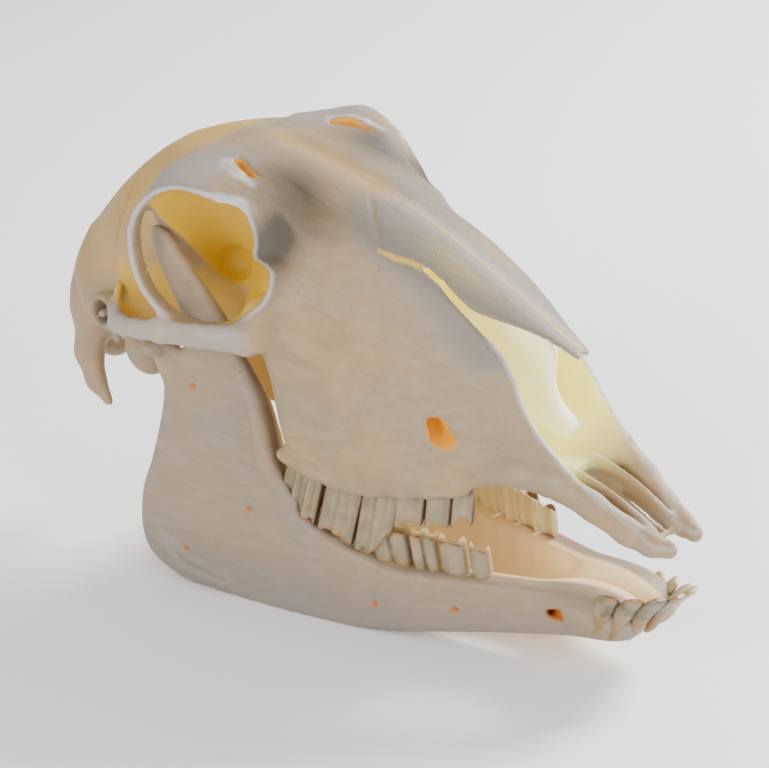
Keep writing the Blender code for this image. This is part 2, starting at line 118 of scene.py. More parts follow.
lamp("side lamp", (-0.1, -1.35, 0.6), (0, 0, 0.07), 0.7, 13.5, (1.0, 0.98, 0.95))
lamp("front lamp", (1.25, -0.3, 0.55), (0.03, 0, 0.07), 0.6, 8.5, (0.97, 0.98, 1.0))
lamp("back lamp", (0.35, 1.05, 0.85), (0, 0, 0.1), 0.5, 40, (0.97, 0.98, 1.0))
world = bpy.data.worlds.new("soft surroundings")
world.use_nodes = True
world.node_tree.nodes["Background"].inputs["Color"].default_value = (0.95, 0.96, 1.0, 1)
world.node_tree.nodes["Background"].inputs["Strength"].default_value = 0.9
bpy.context.scene.world = world
print("three lamps and a pale floor")

# %% [markdown]
# ## How the bones are made
# A skull has no flat faces and no straight tubes: every form melts into the next. It could be
# sculpted by hand, but a script has a better way. Each form is written as a distance: below
# zero inside, above zero outside. Two distances melt together with one smooth minimum, and a
# hollow is cut with a smooth maximum. The bone is the surface where the sum is zero.
# The drawing is in millimetres, with y counted outwards from the middle of the head, so that
# one description serves both sides.

# %% Distances to simple forms
MM = 0.001
SHIFT = np.array((-101.4, 0.0, -4.4))    # from the drawing to the standing skull
FINE = 1.0


def along(x, stations, values):
    """Smooth curve through values set at stations."""
    s = np.asarray(stations, float)
    v = np.asarray(values, float)
    x = np.clip(x, s[0], s[-1])
    i = np.clip(np.searchsorted(s, x, side="right") - 1, 0, len(s) - 2)
    slope = np.gradient(v, s, axis=0)
    h = s[i + 1] - s[i]
    t = (x - s[i]) / h
    if v.ndim == 2:
        h, t = h[..., None], t[..., None]
    a = (2 * t ** 3 - 3 * t ** 2 + 1) * v[i] + (t ** 3 - 2 * t ** 2 + t) * h * slope[i]
    return a + (-2 * t ** 3 + 3 * t ** 2) * v[i + 1] + (t ** 3 - t ** 2) * h * slope[i + 1]


def blend(a, b, k):
    """Both forms, melted together over k millimetres."""
    h = np.clip(0.5 + 0.5 * (b - a) / k, 0, 1)
    return b + (a - b) * h - k * h * (1 - h)


def carve(a, b, k):
    """Form a with form b taken away, the edge rounded over k."""
    return -blend(-a, b, k)


def ball(p, centre, radii):
    x, y, z = ((p[i] - centre[i]) / radii[i] for i in range(3))
    far = np.sqrt(x * x + y * y + z * z)
    grow = np.sqrt((x / radii[0]) ** 2 + (y / radii[1]) ** 2 + (z / radii[2]) ** 2)
    return far * (far - 1) / np.maximum(grow, 1e-6)


def rod(p, a, b, ra, rb, flat=1.0):
    """Round bar from a to b with a radius at each end, flattened sideways by flat."""
    a = np.array(a, float) * (1, flat, 1)
    d = np.array(b, float) * (1, flat, 1) - a
    q = (p[0], p[1] * flat, p[2])
    t = sum((q[i] - a[i]) * d[i] for i in range(3)) / max(float(d @ d), 1e-9)
    t = np.clip(t, 0, 1)
    gap = np.sqrt(sum((q[i] - a[i] - t * d[i]) ** 2 for i in range(3)))
    return gap - (ra + (rb - ra) * t)


def bar(p, points, flat=1.0, k=2.0):
    """Bent bar through points (x, y, z, radius)."""
    out = None
    for a, b in zip(points, points[1:]):
        piece = rod(p, a[:3], b[:3], a[3], b[3], flat)
        out = piece if out is None else blend(out, piece, k)
    return out


def slot(p, points, facing, depth=5.0):
    """Bent cut through points (x, y, z, half width) that goes straight in against facing."""
    n = np.array(facing, float)
    n = n / np.linalg.norm(n)
    best = None
    for a, b in zip(points, points[1:]):
        start = np.array(a[:3], float)
        d = np.array(b[:3], float) - start
        rise = float(d @ n)
        flat = d - rise * n
        q = [p[i] - start[i] for i in range(3)]
        up = sum(q[i] * n[i] for i in range(3))
        t = np.clip(sum(q[i] * flat[i] for i in range(3)) / max(float(flat @ flat), 1e-9), 0, 1)
        gap = np.sqrt(sum((q[i] - up * n[i] - t * flat[i]) ** 2 for i in range(3)))
        piece = np.maximum(gap - (a[3] + (b[3] - a[3]) * t), np.abs(up - t * rise) - depth)
        best = piece if best is None else np.minimum(best, piece)
    return best


def outline_distance(u, v, points):
    """Distance to a closed flat outline, negative inside."""
    near = np.full(u.shape, 1e9)
    inside = np.zeros(u.shape, bool)
    for (au, av), (bu, bv) in zip(points, np.roll(points, -1, axis=0)):
        du, dv = bu - au, bv - av
        t = np.clip(((u - au) * du + (v - av) * dv) / (du * du + dv * dv + 1e-12), 0, 1)
        near = np.minimum(near, (u - au - t * du) ** 2 + (v - av - t * dv) ** 2)
        if abs(dv) > 1e-9:
            inside ^= ((v < av) != (v < bv)) & (u < au + (v - av) / dv * du)
    return np.where(inside, -1, 1) * np.sqrt(near)


def side_outline(p, points):
    """The same for an outline in the X Z plane, carried right across Y."""
    return outline_distance(p[0][:, 0, :], p[2][:, 0, :], np.asarray(points, float))[:, None, :]


def smooth_outline(points, parts=4):
    """Extra points on a smooth line through a closed outline."""
    p = np.asarray(points, float)
    ring = np.vstack([p[-2:], p, p[:3]])
    return along(np.arange(len(p) * parts) / parts + 2, np.arange(len(ring)), ring)


def sections(p, table, parts=4):
    """Body through half sections: rows of (x, [(y, z) from top to underside])."""
    xs = [row[0] for row in table]
    flat = np.array([np.array(row[1], float).ravel() for row in table])
    out = np.empty(p[0].shape)
    for i, x in enumerate(p[0][:, 0, 0]):
        half = along(np.array([x]), xs, flat)[0].reshape(-1, 2)
        n = len(half)
        fine = along(np.arange((n - 1) * parts + 1) / parts, np.arange(n), half)
        ring = np.vstack([fine, fine[::-1] * (-1, 1)])
        out[i] = outline_distance(p[1][i], p[2][i], ring)
    return out


def grid(low, high, cell):
    axes = [np.arange(a, b + cell, cell) for a, b in zip(low, high)]
    return np.meshgrid(*axes, indexing="ij")


print("distance helpers ready, cells of", FINE, "mm")

# %% [markdown]
# The surface itself is found cell by cell. Every cell that the surface passes through gets one
# point, in the middle of its crossings, and every edge that is crossed joins four points to a
# face. That gives even, four-sided faces, which take smoothing and light well.

# %% From a distance to a mesh
def skin(field, p):
    """Points in millimetres and four-sided faces where the distance is zero."""
    inside = field < 0
    size = [s - 1 for s in field.shape]
    corners = [(i, j, k) for i in (0, 1) for j in (0, 1) for k in (0, 1)]
    count = sum(inside[i:i + size[0], j:j + size[1], k:k + size[2]].astype(np.int8) for i, j, k in corners)
    cells = np.argwhere((count > 0) & (count < 8))
    number = np.full(size, -1)
    number[tuple(cells.T)] = np.arange(len(cells))
    total = np.zeros((len(cells), 3))
    hits = np.zeros(len(cells))
    for a in corners:
        fa = field[tuple((cells + a).T)]
        for axis in range(3):
            if a[axis]:
                continue
            step = np.eye(3, dtype=int)[axis]
            fb = field[tuple((cells + a + step).T)]
            cross = (fa < 0) != (fb < 0)
            t = np.where(cross, fa / np.where(cross, fa - fb, 1), 0)
            total += (np.array(a) + step * t[:, None]) * cross[:, None]
            hits += cross
    cell = p[0][1, 0, 0] - p[0][0, 0, 0]
    low = np.array([q[0, 0, 0] for q in p])
    points = low + (cells + total / hits[:, None]) * cell
    faces = []
    for axis in range(3):
        near = tuple(slice(0, -1) if i == axis else slice(None) for i in range(3))
        far = tuple(slice(1, None) if i == axis else slice(None) for i in range(3))
        edges = np.argwhere(inside[near] != inside[far])
        u = np.eye(3, dtype=int)[(axis + 1) % 3]
        v = np.eye(3, dtype=int)[(axis + 2) % 3]
        quad = np.stack([number[tuple((edges - a).T)] for a in (u + v, v, 0 * u, u)], 1)
        solid_first = inside[near][tuple(edges.T)]
        faces.append(np.where(solid_first[:, None], quad, quad[:, ::-1]))
    return points, np.vstack(faces)


def mirrored(half):
    """Field of the whole head from the field of its left half."""
    return np.concatenate([half[:, ::-1], half], axis=1)


def make_object(name, points, faces):
    """Object whose mesh stands where the solid model has it."""
    mesh = bpy.data.meshes.new(name)
    mesh.from_pydata(((points + SHIFT) * MM).tolist(), [], np.asarray(faces).tolist())
    mesh.validate()
    mesh.shade_smooth()
    obj = bpy.data.objects.new(name, mesh)
    bpy.context.scene.collection.objects.link(obj)
    return obj


def apply_modifiers(obj):
    bpy.ops.object.select_all(action="DESELECT")
    bpy.context.view_layer.objects.active = obj
    obj.select_set(True)
    for mod in list(obj.modifiers):
        bpy.ops.object.modifier_apply(modifier=mod.name)


def even_out(obj, rounds, triangles, factor=0.5):
    """Smooths the cell steps away, then keeps the number of triangles in bounds."""
    mod = obj.modifiers.new("even", "SMOOTH")
    mod.factor = factor
    mod.iterations = rounds
    now = 2 * len(obj.data.polygons)
    if now > triangles:
        mod = obj.modifiers.new("fewer", "DECIMATE")
        mod.ratio = triangles / now
    apply_modifiers(obj)
    obj.data.shade_smooth()
    print(obj.name, len(obj.data.vertices), "points,", len(obj.data.polygons), "faces")


# %% [markdown]
# ## Lower jaw
# Each half of the jaw is a flat plate seen from the side, thick along the tooth row and thin as
# a shell in its upright part. So its side outline is drawn once and given a thickness that
# changes along it. The chin, the joint head, the muscle pit and the nerve holes come after.

# %% Outline and thickness of the jaw
JAW_EDGE = (
    (40.5, 74), (37, 60), (33, 48), (28, 38), (25.3, 29), (24.4, 20), (26.5, 12.5), (33, 7.5),
    (44, 4), (60, 3.4), (97, 3.4), (116, 4.2), (134, 7), (150, 9.6), (168, 12.2), (190, 15.6),
    (201, 17.4), (207, 20.5), (206, 25.5), (199, 29.4), (188, 30.2), (171, 29.4), (158, 28.8), (140, 28.2),
    (126, 28.4), (113, 31.6), (100, 36.5), (90, 43.5), (85, 55), (83, 67), (80.5, 78), (75, 88),
    (70, 100), (62, 112), (54, 122.5), (48, 129.5), (43, 129.5), (44, 120), (50, 107), (53.5, 98),
    (52, 91), (48, 89), (43, 92), (38.5, 91.5), (37, 87), (39, 80))
JAW_X = (22, 45, 72, 90, 100, 113, 126, 140, 158, 171, 185, 198, 208)
JAW_Y = (38, 36.6, 33.2, 30, 28, 26, 23.5, 20.5, 15.6, 12.4, 9.6, 7.8, 7)
JAW_HALF = (3.2, 3.2, 4.4, 5.6, 6, 6.1, 6, 5.6, 5, 4.6, 4.4, 5, 5)
SEAM = 0.15                              # half of the gap between the two jaw bones
GROUND = 4.4
CHIN_HOLE = ((183.4, 16.2, 23.4), (173, 9.5, 20.5))
SMALL_HOLES = (((120.3, 31.5, 14.8), 0.6), ((147.8, 24.6, 17.9), 0.6), ((74.1, 38.2, 38.3), 0.7),
               ((54.1, 38.2, 77.1), 0.6), ((44.9, 40.6, 17.4), 0.6))
JAW_TRIANGLES = 90000


def jaw_plate(p):
    """Plate of the jaw bone with its chin, joint head and muscle pit."""
    x, y, z = p
    middle = along(x, JAW_X, JAW_Y)
    half = along(x, JAW_X, JAW_HALF) * (1 - 0.35 * np.clip((z - 50) / 40, 0, 1))
    flat = side_outline(p, smooth_outline(JAW_EDGE)) + 2.4
    side = np.abs(y - middle) - half + 2.4
    jaw = np.sqrt(np.maximum(flat, 0) ** 2 + np.maximum(side, 0) ** 2) - 2.4
    jaw = jaw + np.minimum(np.maximum(flat, side), 0)
    jaw = blend(jaw, ball(p, (41.5, 36, 89), (4.8, 8.5, 3.8)), 2)
    jaw = blend(jaw, ball(p, (189.5, 6.5, 24.2), (17.5, 10.6, 6.6)), 4)
    return carve(jaw, ball(p, (56, 42, 62), (18, 4.5, 26)), 4)


# %% Details of the jaw
def jaw_details(p, jaw):
    """Nerve holes, the ridges of the chewing muscle and the swellings over the tooth roots."""
    x, y, z = p
    ridge = bar(p, ((33, 41, 20, 1.2), (44, 42, 12, 1.4), (62, 40, 9, 1.2)))
    jaw = blend(jaw, ridge, 4)
    front = bar(p, ((75, 34.5, 86, 1.0), (80, 35, 70, 1.3), (82.5, 35, 56, 1.5), (92, 34, 44, 1.2)))
    jaw = blend(jaw, front, 5)
    jaw = carve(jaw, ball(p, (73, 37.6, 66), (4, 2.0, 14)), 4)
    hole = rod(p, *CHIN_HOLE, 1.5, 1.3)
    jaw = carve(jaw, blend(hole, rod(p, (179.5, 15.6, 22.2), (184.4, 14.6, 23.0), 1.5, 1.2), 1), 0.8)
    for spot, size in SMALL_HOLES:
        jaw = carve(jaw, rod(p, spot, (spot[0] + 1.2, spot[1] - 4, spot[2] + 0.5), size, 0.5), 0.5)
    inner = rod(p, (60, 30.5, 58), (70, 33, 50), 2.2, 1.4)
    jaw = carve(jaw, inner, 1)
    swell = (0.35 * np.cos((x - 88) * 2 * math.pi / 9.2)
             * np.clip((x - 88) / 6, 0, 1) * np.clip((158 - x) / 6, 0, 1))
    near_rim = np.clip(1 - np.abs(z - along(x, (84, 100, 117, 141, 158), (40, 33, 27, 24, 24))) / 9, 0, 1)
    jaw = jaw - swell * near_rim
    return np.maximum(np.maximum(jaw, SEAM - y), GROUND - z)


def jaw_bone(side, sign):
    p = grid((18, -2.2, 1.0), (218, 50, 134), FINE * 0.9)
    field = jaw_details(p, jaw_plate(p))
    points, faces = skin(field, p)
    if sign < 0:
        points = points * (1, -1, 1)
        faces = faces[:, ::-1]
    obj = make_object("jaw_bone_" + side, points, faces)
    even_out(obj, 3, JAW_TRIANGLES)
    return obj, p, field


jaws = {}
for side, sign in (("right", -1), ("left", 1)):
    jaws[side], jaw_grid, jaw_distance = jaw_bone(side, sign)

# %% [markdown]
# ## The head
# Seen from behind to the nose the head changes from a round braincase to a wide brow and then a
# long wedge. Sixteen half sections carry that change, and a smooth curve runs through them.

# %% Sections of the head
# crown of the roof, roof, roof edge, upper side, side, lower side, outer rim, inner rim, vault, middle
HEAD = (
    (-16, ((0, 111), (12, 109), (22, 104), (28, 97), (31, 91),
           (31, 86), (26, 78), (19, 73), (10, 71), (0, 71))),
    (-4, ((0, 124), (12, 122), (22, 113), (29, 102.5), (32, 95),
          (33, 87), (28, 79), (20, 75), (10, 74), (0, 74))),
    (10, ((0, 136.5), (13, 134), (24.5, 124), (31, 110), (32.5, 101),
          (31, 92), (26, 83), (18, 77), (10, 76), (0, 76))),
    (27, ((0, 147.5), (14, 145), (27, 134), (32.5, 120), (31.5, 107),
          (28, 96), (22, 87), (15, 81), (8, 80), (0, 80))),
    (40, ((0, 151.5), (17, 149.5), (31, 142), (33, 129), (28.5, 115),
          (24, 102), (18, 92), (12, 86), (7, 84), (0, 84))),
    (52, ((0, 153), (20, 151.3), (42, 146.5), (43, 138), (31, 125),
          (20, 110), (15, 97), (12, 88), (7, 86), (0, 86))),
    (68, ((0, 153), (22, 151.5), (40, 150), (44, 140), (32, 126),
          (22, 110), (16, 97), (12, 87), (7, 84), (0, 84))),
    (82, ((0, 151.5), (20, 149.8), (35, 147.5), (40, 138), (41, 122),
          (40.5, 108), (31, 92), (26, 74), (14, 76), (0, 80))),
    (94, ((0, 148.5), (16, 147), (28, 142.5), (37, 132), (40.5, 119),
          (41.5, 106), (39, 90), (35.5, 61), (24, 62), (0, 76))),
    (108, ((0, 144), (13, 142), (24, 136.3), (33.5, 124), (38.5, 112),
           (39.8, 101), (37.5, 84), (35, 58), (22, 60), (0, 74))),
    (122, ((0, 138), (10.5, 136.4), (19.5, 130), (27.5, 116.5), (33, 105),
           (35, 93), (34.5, 75), (33, 57), (20, 59), (0, 72))),
    (136, ((0, 132), (10, 130.4), (18, 124.8), (23.5, 111), (27.5, 99),
           (30, 86), (30.3, 72), (29.5, 58), (17, 60), (0, 70))),
    (148, ((0, 125.8), (9.8, 124.2), (16.2, 119), (20, 107), (23.5, 95),
           (25.5, 82), (26, 70), (25, 59.5), (14, 61), (0, 68))),
    (160, ((0, 119.2), (8, 117.8), (13.8, 113.2), (17, 104), (20.3, 94),
           (22, 82), (21.5, 72), (20, 62), (11, 63), (0, 66))),
    (172, ((0, 112.2), (6.5, 111), (11.5, 107), (15, 99), (18, 90),
           (19, 80), (18.5, 71), (16.5, 64.5), (9, 64), (0, 65))),
    (186, ((0, 104), (5.5, 103), (9, 100), (13.5, 92), (15.5, 84),
           (16, 76), (15.5, 70), (14, 64), (8, 63), (0, 63))),
)
head_grid = grid((-24, FINE / 2, 46), (222, 55.5, 158), FINE)
x, y, z = head_grid
bulk = sections(head_grid, HEAD)
bone = carve(bulk, x + 7.5 - 0.2 * (97 - z) + 0.004 * y * y, 5)
print("head worked out in", bone.size, "cells")

# %% [markdown]
# ## Eye sockets
# The socket is a wide round hollow that narrows towards the middle of the head, with a thin
# raised ring round its mouth. In front the tear bone steps into the mouth and carries the edge of
# the ring further out. A rounded swelling lies on the floor of the socket.

# %% Eye sockets
ORBIT_CENTRE = np.array((73.2, 44.8, 126.2))
ORBIT_FACING = np.array((0.322, 0.946, 0.05))
ORBIT_FACING = ORBIT_FACING / np.linalg.norm(ORBIT_FACING)
# angle round the mouth, counted up from straight ahead, and the radius of the mouth there
MOUTH_ANGLE = (-3.15, -2.5, -2.06, -1.58, -1.07, -0.65, -0.4, -0.15, -0.02, 0.15, 0.35, 0.6, 0.95, 1.2, 1.45,
               1.7, 1.95, 2.2, 2.5, 2.8, 3.15)
MOUTH_RADIUS = (25.4, 25.2, 24.6, 22.8, 21.4, 22.0, 23.7, 24.4, 24.0, 18.6, 19.4, 20.4, 21.2, 19.6, 19.8,
                21.0, 22.9, 24.4, 25.6, 26.0, 25.4)


def socket_place(p):
    """How far out of the ring's plane, how far from its axis, and the angle round it."""
    out = sum((p[i] - ORBIT_CENTRE[i]) * ORBIT_FACING[i] for i in range(3))
    flat = [p[i] - ORBIT_CENTRE[i] - out * ORBIT_FACING[i] for i in range(3)]
    wide = np.sqrt(sum(q * q for q in flat))
    ahead = np.array((ORBIT_FACING[1], -ORBIT_FACING[0], 0.0))
    forward = sum(flat[i] * ahead[i] for i in range(3)) / np.linalg.norm(ahead)
    return out, wide, np.arctan2(flat[2], forward)


def mouth_lift(angle):
    """How far the mouth's edge stands out: the tear bone in front carries it outwards."""
    return -2.2 + 7.0 * np.exp(-((angle + 0.28) / 0.62) ** 2)


def socket_hollow(p):
    out, wide, angle = socket_place(p)
    body = rod(p, (73.0, 46, 126.2), (58, 17, 113), 25.6, 6)
    body = blend(body, rod(p, (92, 47, 117.5), (84, 33, 114.5), 7.0, 4), 2)
    deep = np.clip(mouth_lift(angle) - out - 5.5, 0, 9)
    wider = 0.25 + 0.75 * np.exp(-((angle - 0.4) / 0.9) ** 2)
    return np.maximum(body, wide - along(angle, MOUTH_ANGLE, MOUTH_RADIUS) - wider * deep)


out, wide, angle = socket_place(head_grid)
mouth = along(angle, MOUTH_ANGLE, MOUTH_RADIUS)
lift = mouth_lift(angle)
beads = 0.16 * np.sin(angle * 58) * np.clip(np.cos(angle - 2.4) * 2, 0, 1)
crumbs = np.sin(2.3 * x + 1) * np.sin(2.0 * y) * np.sin(2.6 * z) + 0.6 * np.sin(1.1 * x) * np.sin(1.4 * z + 2)
beads = beads + 1.1 * crumbs * np.exp(-((angle - 1.1) / 0.32) ** 2)
rim = -blend(1.1 - np.abs(wide - mouth - 0.95) + beads, 3.6 - np.abs(out - lift + 3.6) + beads, 1.2)
bone = blend(bone, rim, 3.0)
bone = carve(bone, socket_hollow(head_grid), 0.9)
bone = blend(bone, ball(head_grid, (88, 33.5, 106.5), (8.5, 7, 7)), 3)
print("socket rings", 2 * MOUTH_RADIUS[0], "mm across at the widest")

# %% [markdown]
# ## Cheek arch, ear and the back of the head
# A thin arch runs back from the socket to the ear tube. Under the ear a long hook points down,
# beside the two rounded knobs on which the neck turned.

# %% Cheek arch and ear
arch = bar(head_grid, ((99, 39, 106, 5), (86, 42.5, 102, 5.2), (70, 47.5, 101.5, 4), (55, 50, 101, 4),
                       (41, 45.5, 97, 3.3), (28, 41, 94, 3.6), (17, 34, 92, 4.6)), 1.7)
bone = blend(bone, arch, 2.4)
ridge = bar(head_grid, ((103, 40, 106, 3), (116, 36, 101, 3.4), (119.5, 34, 88, 3.4), (112, 33.5, 70, 2.5)))
bone = blend(bone, ridge, 7)
bone = blend(bone, rod(head_grid, (16, 26, 92), (15.2, 35.4, 94.6), 7.0, 6.2), 3)
bone = carve(bone, rod(head_grid, (15, 41, 95.2), (15.8, 32, 93.8), 4.7, 3.2), 0.8)
bone = blend(bone, rod(head_grid, (14.2, 37.0, 93.6), (15.4, 32, 93.4), 1.5, 1.6), 0.9)
bone = blend(bone, bar(head_grid, ((20.5, 34, 104, 1.3), (20, 36.6, 95, 1.6), (18.6, 35.6, 85, 1.4))), 1.5)
bone = blend(bone, ball(head_grid, (17, 21, 77), (9, 7, 10)), 3)

# %% Back of the head
hook = bar(head_grid, ((-3, 27, 84, 7), (-4.5, 29, 73, 5.6), (-1, 30.5, 64, 4), (4.5, 31, 58, 2)), 1.35)
bone = blend(bone, hook, 3)
bone = blend(bone, ball(head_grid, (-9.5, 13, 77), (9, 8.5, 12)), 3)
crest = bar(head_grid, ((-11.5, 0, 112.5, 3), (-9, 14, 110, 3), (-3, 26, 103, 3), (5, 32.5, 96, 3.2)))
bone = blend(bone, crest, 4)
spinal_hole = rod(head_grid, (-40, 0, 83), (-2, 0, 86), 9, 8)
bone = carve(bone, spinal_hole, 2)
wall = np.maximum(np.abs(y - 12.5) - 1.2, side_outline(
    head_grid, ((50, 86), (52, 74), (60, 66), (75, 64), (90, 64), (90, 92), (56, 92))))
bone = blend(bone, wall, 3)
print("arch, ear tube, hook and neck knobs added")

# %% [markdown]
# ## Nose
# The nose is a thin-walled tunnel. The roof ends in two pointed nasal bones that stand free, and
# the cheek bone's edge slopes down to the two front bars. Between the roof and the cheek a
# narrow slit runs back from the opening.

# %% Nose
NOTCH = ((149, 150), (149, 120), (156, 113.5), (161.5, 108.5), (166.5, 103.5), (171, 97.5), (174, 91.5),
         (178.6, 84.5), (183.4, 78.6), (189, 73), (196, 67.4), (209, 58.5), (216, 53), (240, 51), (240, 150))
NASAL_X = (141, 150, 157, 164, 171, 178, 184, 190)
NASAL_W = (17.6, 15.8, 13.4, 10.6, 7.8, 5.6, 4, 2.6)
NASAL_Z = (121, 118, 115.5, 113, 110.6, 107.7, 104.3, 102.5)
WALL = 2.2
passage_floor = along(x, (90, 130, 160, 190), (80, 76, 70, 67)) + 7 * np.clip((y - 9) / 6, 0, 1)
passage = np.maximum(np.maximum(bulk + WALL, passage_floor - z), 116 - x)
bone = carve(bone, passage, 1.5)
# the cut leans across the thin wall, so that the wall ends squarely and not in a feather edge
SLANT = 0.707                            # half way between sideways and down
nasal_edge = SLANT * (along(x, NASAL_X, NASAL_W) - y + z - along(x, NASAL_X, NASAL_Z))
bone = carve(bone, np.maximum(side_outline(head_grid, NOTCH), nasal_edge), 1.2)
nasal_tip = x - 186 + 0.5 * np.abs(y - 3.0)
cheek_end = x - 189 + 0.8 * np.clip(12 - y, 0, 8)
bone = np.maximum(bone, np.where(z > 90, nasal_tip, cheek_end))
FISSURE = ((138, 14.9, 126.6, 0.8), (143.7, 14.8, 123.4, 0.85), (149.5, 15.2, 119, 1.0),
           (154.7, 14.8, 115.2, 1.3), (159, 14.2, 112.4, 1.8), (162, 13.6, 110, 2.0))
FISSURE_START = ((123.2, 18.4, 130.8, 0.4), (128.5, 17.6, 129, 0.5), (133.3, 16.2, 128.2, 0.5),
                 (139, 14.8, 126.4, 0.7))
bone = carve(bone, slot(head_grid, FISSURE, (0.4, 0.72, 0.57)), 0.4)
bone = carve(bone, bar(head_grid, FISSURE_START, 1.0, 0.5), 0.6)

# %% Front bars and the scrolls in the nose
outer_bar = bar(head_grid, ((158, 19, 68, 5), (172, 17.8, 69.5, 5.2), (184, 15.4, 68.5, 5),
                            (196, 12.8, 62, 4.6),
                            (206, 10, 55.5, 4.4), (213, 8, 52.5, 4), (218.5, 6.4, 51.5, 3)), 1.35)
bone = blend(bone, outer_bar, 2)
BAR_X = (156, 172, 184, 196, 206, 214)
between_floor = along(x, BAR_X, (66, 64.5, 62, 58.5, 54.5, 52))
outer_y = along(x, BAR_X, (19, 17, 15, 12.5, 9.8, 7.6))
between = -blend(1.3 - np.abs(z - between_floor), np.minimum(outer_y - y, 214 - np.abs(x)), 1)
between = np.maximum(between, 156 - x)
bone = blend(bone, between, 2)
ridge_top = along(x, BAR_X, (69, 70, 69, 65.5, 60.5, 55.5))
inner_ridge = -blend(0.9 - np.abs(y - along(x, BAR_X, (5.6, 5.8, 5.6, 5.4, 5, 4.4))),
                     np.minimum(ridge_top - z, z - between_floor + 1), 1.2)
inner_ridge = np.maximum(np.maximum(inner_ridge, 160 - x), x - 213)
bone = blend(bone, inner_ridge, 1.5)
bone = carve(bone, slot(head_grid, ((194, 3.7, 60, 0.5), (203, 2.7, 58, 0.95), (212, 1.4, 54, 0.7)),
                        (0, 0, 1), 8), 0.5)
SCROLL_EDGE = ((112, 116), (150, 114), (164, 111), (171, 108), (174, 103), (174.4, 98), (173.4, 92),
               (174.6, 87),
               (177.6, 83), (180.4, 79.6), (178, 75.6), (171, 76.4), (160, 80), (140, 84), (112, 88))
scroll = -blend(2.2 + 0.6 * np.sin(z / 5.5) - y,
                -side_outline(head_grid, smooth_outline(SCROLL_EDGE)), 1.2)
bone = blend(bone, scroll, 2)
shelf = bar(head_grid, ((110, 0, 78, 3), (140, 0, 74, 2), (165, 0, 69, 1.4)))
bone = blend(bone, shelf, 3)
print("nose opened, walls about", WALL, "mm")

# %% [markdown]
# ## Holes, grooves and seams of the brow and cheek
# These small marks make the bone believable: the two holes in the brow with their raised lips,
# the shallow valley between the two halves of the brow, the edge where the chewing muscle
# began, the hollow before the eye, the big nerve hole of the cheek, and the fine seams.

# %% Brow
BROW_HOLE = ((69.5, 21.8, 151.6, 1.6), (74, 24.6, 151, 1.9), (81, 26.4, 149.8, 0.7))
bone = carve(bone, slot(head_grid, BROW_HOLE, (0.1, 0, 1), 4.0), 1.0)
lip = bar(head_grid, ((68.4, 24.4, 151.3, 0.8), (72, 27.2, 151.0, 1.2), (77, 28.4, 150.2, 0.9)))
bone = blend(bone, lip, 1.8)
valley = np.exp(-(y / 4.6) ** 2) * np.clip((x - 62) / 14, 0, 1) * np.clip((120 - x) / 14, 0, 1)
bone = bone + 2.0 * valley * (z > 120)
BROW_Y = (0, 5, 10, 19, 28, 40)          # the edge behind the brow bends back as it goes outwards
BROW_X = (59, 58, 56, 53, 45, 40)
behind = along(y, BROW_Y, BROW_X) - x
step = np.clip(0.5 + behind / 2.4, 0, 1) * np.exp(-np.clip(behind, 0, None) / 16)
bone = bone + 1.1 * step * (z > 125) * np.clip((y - 3) / 8, 0, 1)

# %% Cheek
tear_hollow = np.exp(-((x - 98) / 8) ** 2 - ((z - 132) / 12) ** 2) * np.clip((wide - mouth - 3) / 3, 0, 1)
bone = bone + 2.2 * tear_hollow * (y > 20)


def cheek_nerve(p):
    """The big nerve hole: straight behind, round below, like a D."""
    upper_part = rod(p, (149.6, 26.6, 80.6), (138, 19, 82.6), 2.7, 1.8)
    return blend(upper_part, rod(p, (151.4, 26.6, 77.0), (139, 19, 79.4), 3.3, 2.2), 1)


bone = carve(bone, cheek_nerve(head_grid), 1.0)
bone = carve(bone, rod(head_grid, (152, 27.6, 78), (160, 27, 77), 3.0, 1.5), 3)
SEAMS = (
    ((106.7, 37.9, 116.2, 0.3), (111.2, 36, 115.6, 0.35), (118, 33.4, 111.4, 0.4), (120.4, 33.3, 107.6, 0.3)),
    ((109.6, 6, 142.6, 0.2), (114.5, 10.5, 139.6, 0.2), (118.5, 13.9, 136.6, 0.2), (124.9, 18.3, 129.6, 0.2)),
    ((162, 17, 107.5, 0.1), (164, 19, 97.5, 0.15), (168.5, 20.6, 86, 0.2), (174, 19.4, 75, 0.1)),
    ((14, 4, 139, 0.25), (18, 14, 138, 0.25), (20, 24, 131, 0.25), (18, 31, 118, 0.25)),
)
for seam in SEAMS:
    bone = carve(bone, bar(head_grid, [(a, b, c, r + 0.25) for a, b, c, r in seam], 1.0, 0.5), 0.5)
print("brow and cheek finished")

# %% [markdown]
# The tooth row swells the cheek's lower edge a little over every root. Last of all the head
# keeps its distance from the jaw, on whose joints it rests, and becomes a mesh.

# %% Tooth sockets, clearance and the mesh of the head
socket_edge = bar(head_grid, ((90, 34.5, 61, 2.4), (104, 33.4, 57.5, 2.6), (112, 32, 55.6, 2.6),
                              (122, 30.6, 55.6, 2.4),
                              (136, 26.8, 57, 2.4), (146, 23.6, 58.4, 2.2), (153, 21, 59.6, 2.0)), 1.0)
bone = blend(bone, socket_edge, 3)
swell = (0.55 * np.cos((x - 92) * 2 * math.pi / 8.4)
         * np.clip((x - 88) / 8, 0, 1) * np.clip((158 - x) / 8, 0, 1))
bone = bone - swell * np.clip(1 - np.abs(z - 58) / 10, 0, 1) * (y > 12)
bone = np.maximum(bone, 0.9 - jaw_plate(head_grid))
whole_y = np.concatenate([-y[:, ::-1], y], axis=1)
whole = (mirrored(x), whole_y, mirrored(z))
points, faces = skin(mirrored(bone), whole)
head_bone = make_object("head_bone", points, faces)
HEAD_TRIANGLES = 180000
even_out(head_bone, 2, HEAD_TRIANGLES, 0.4)

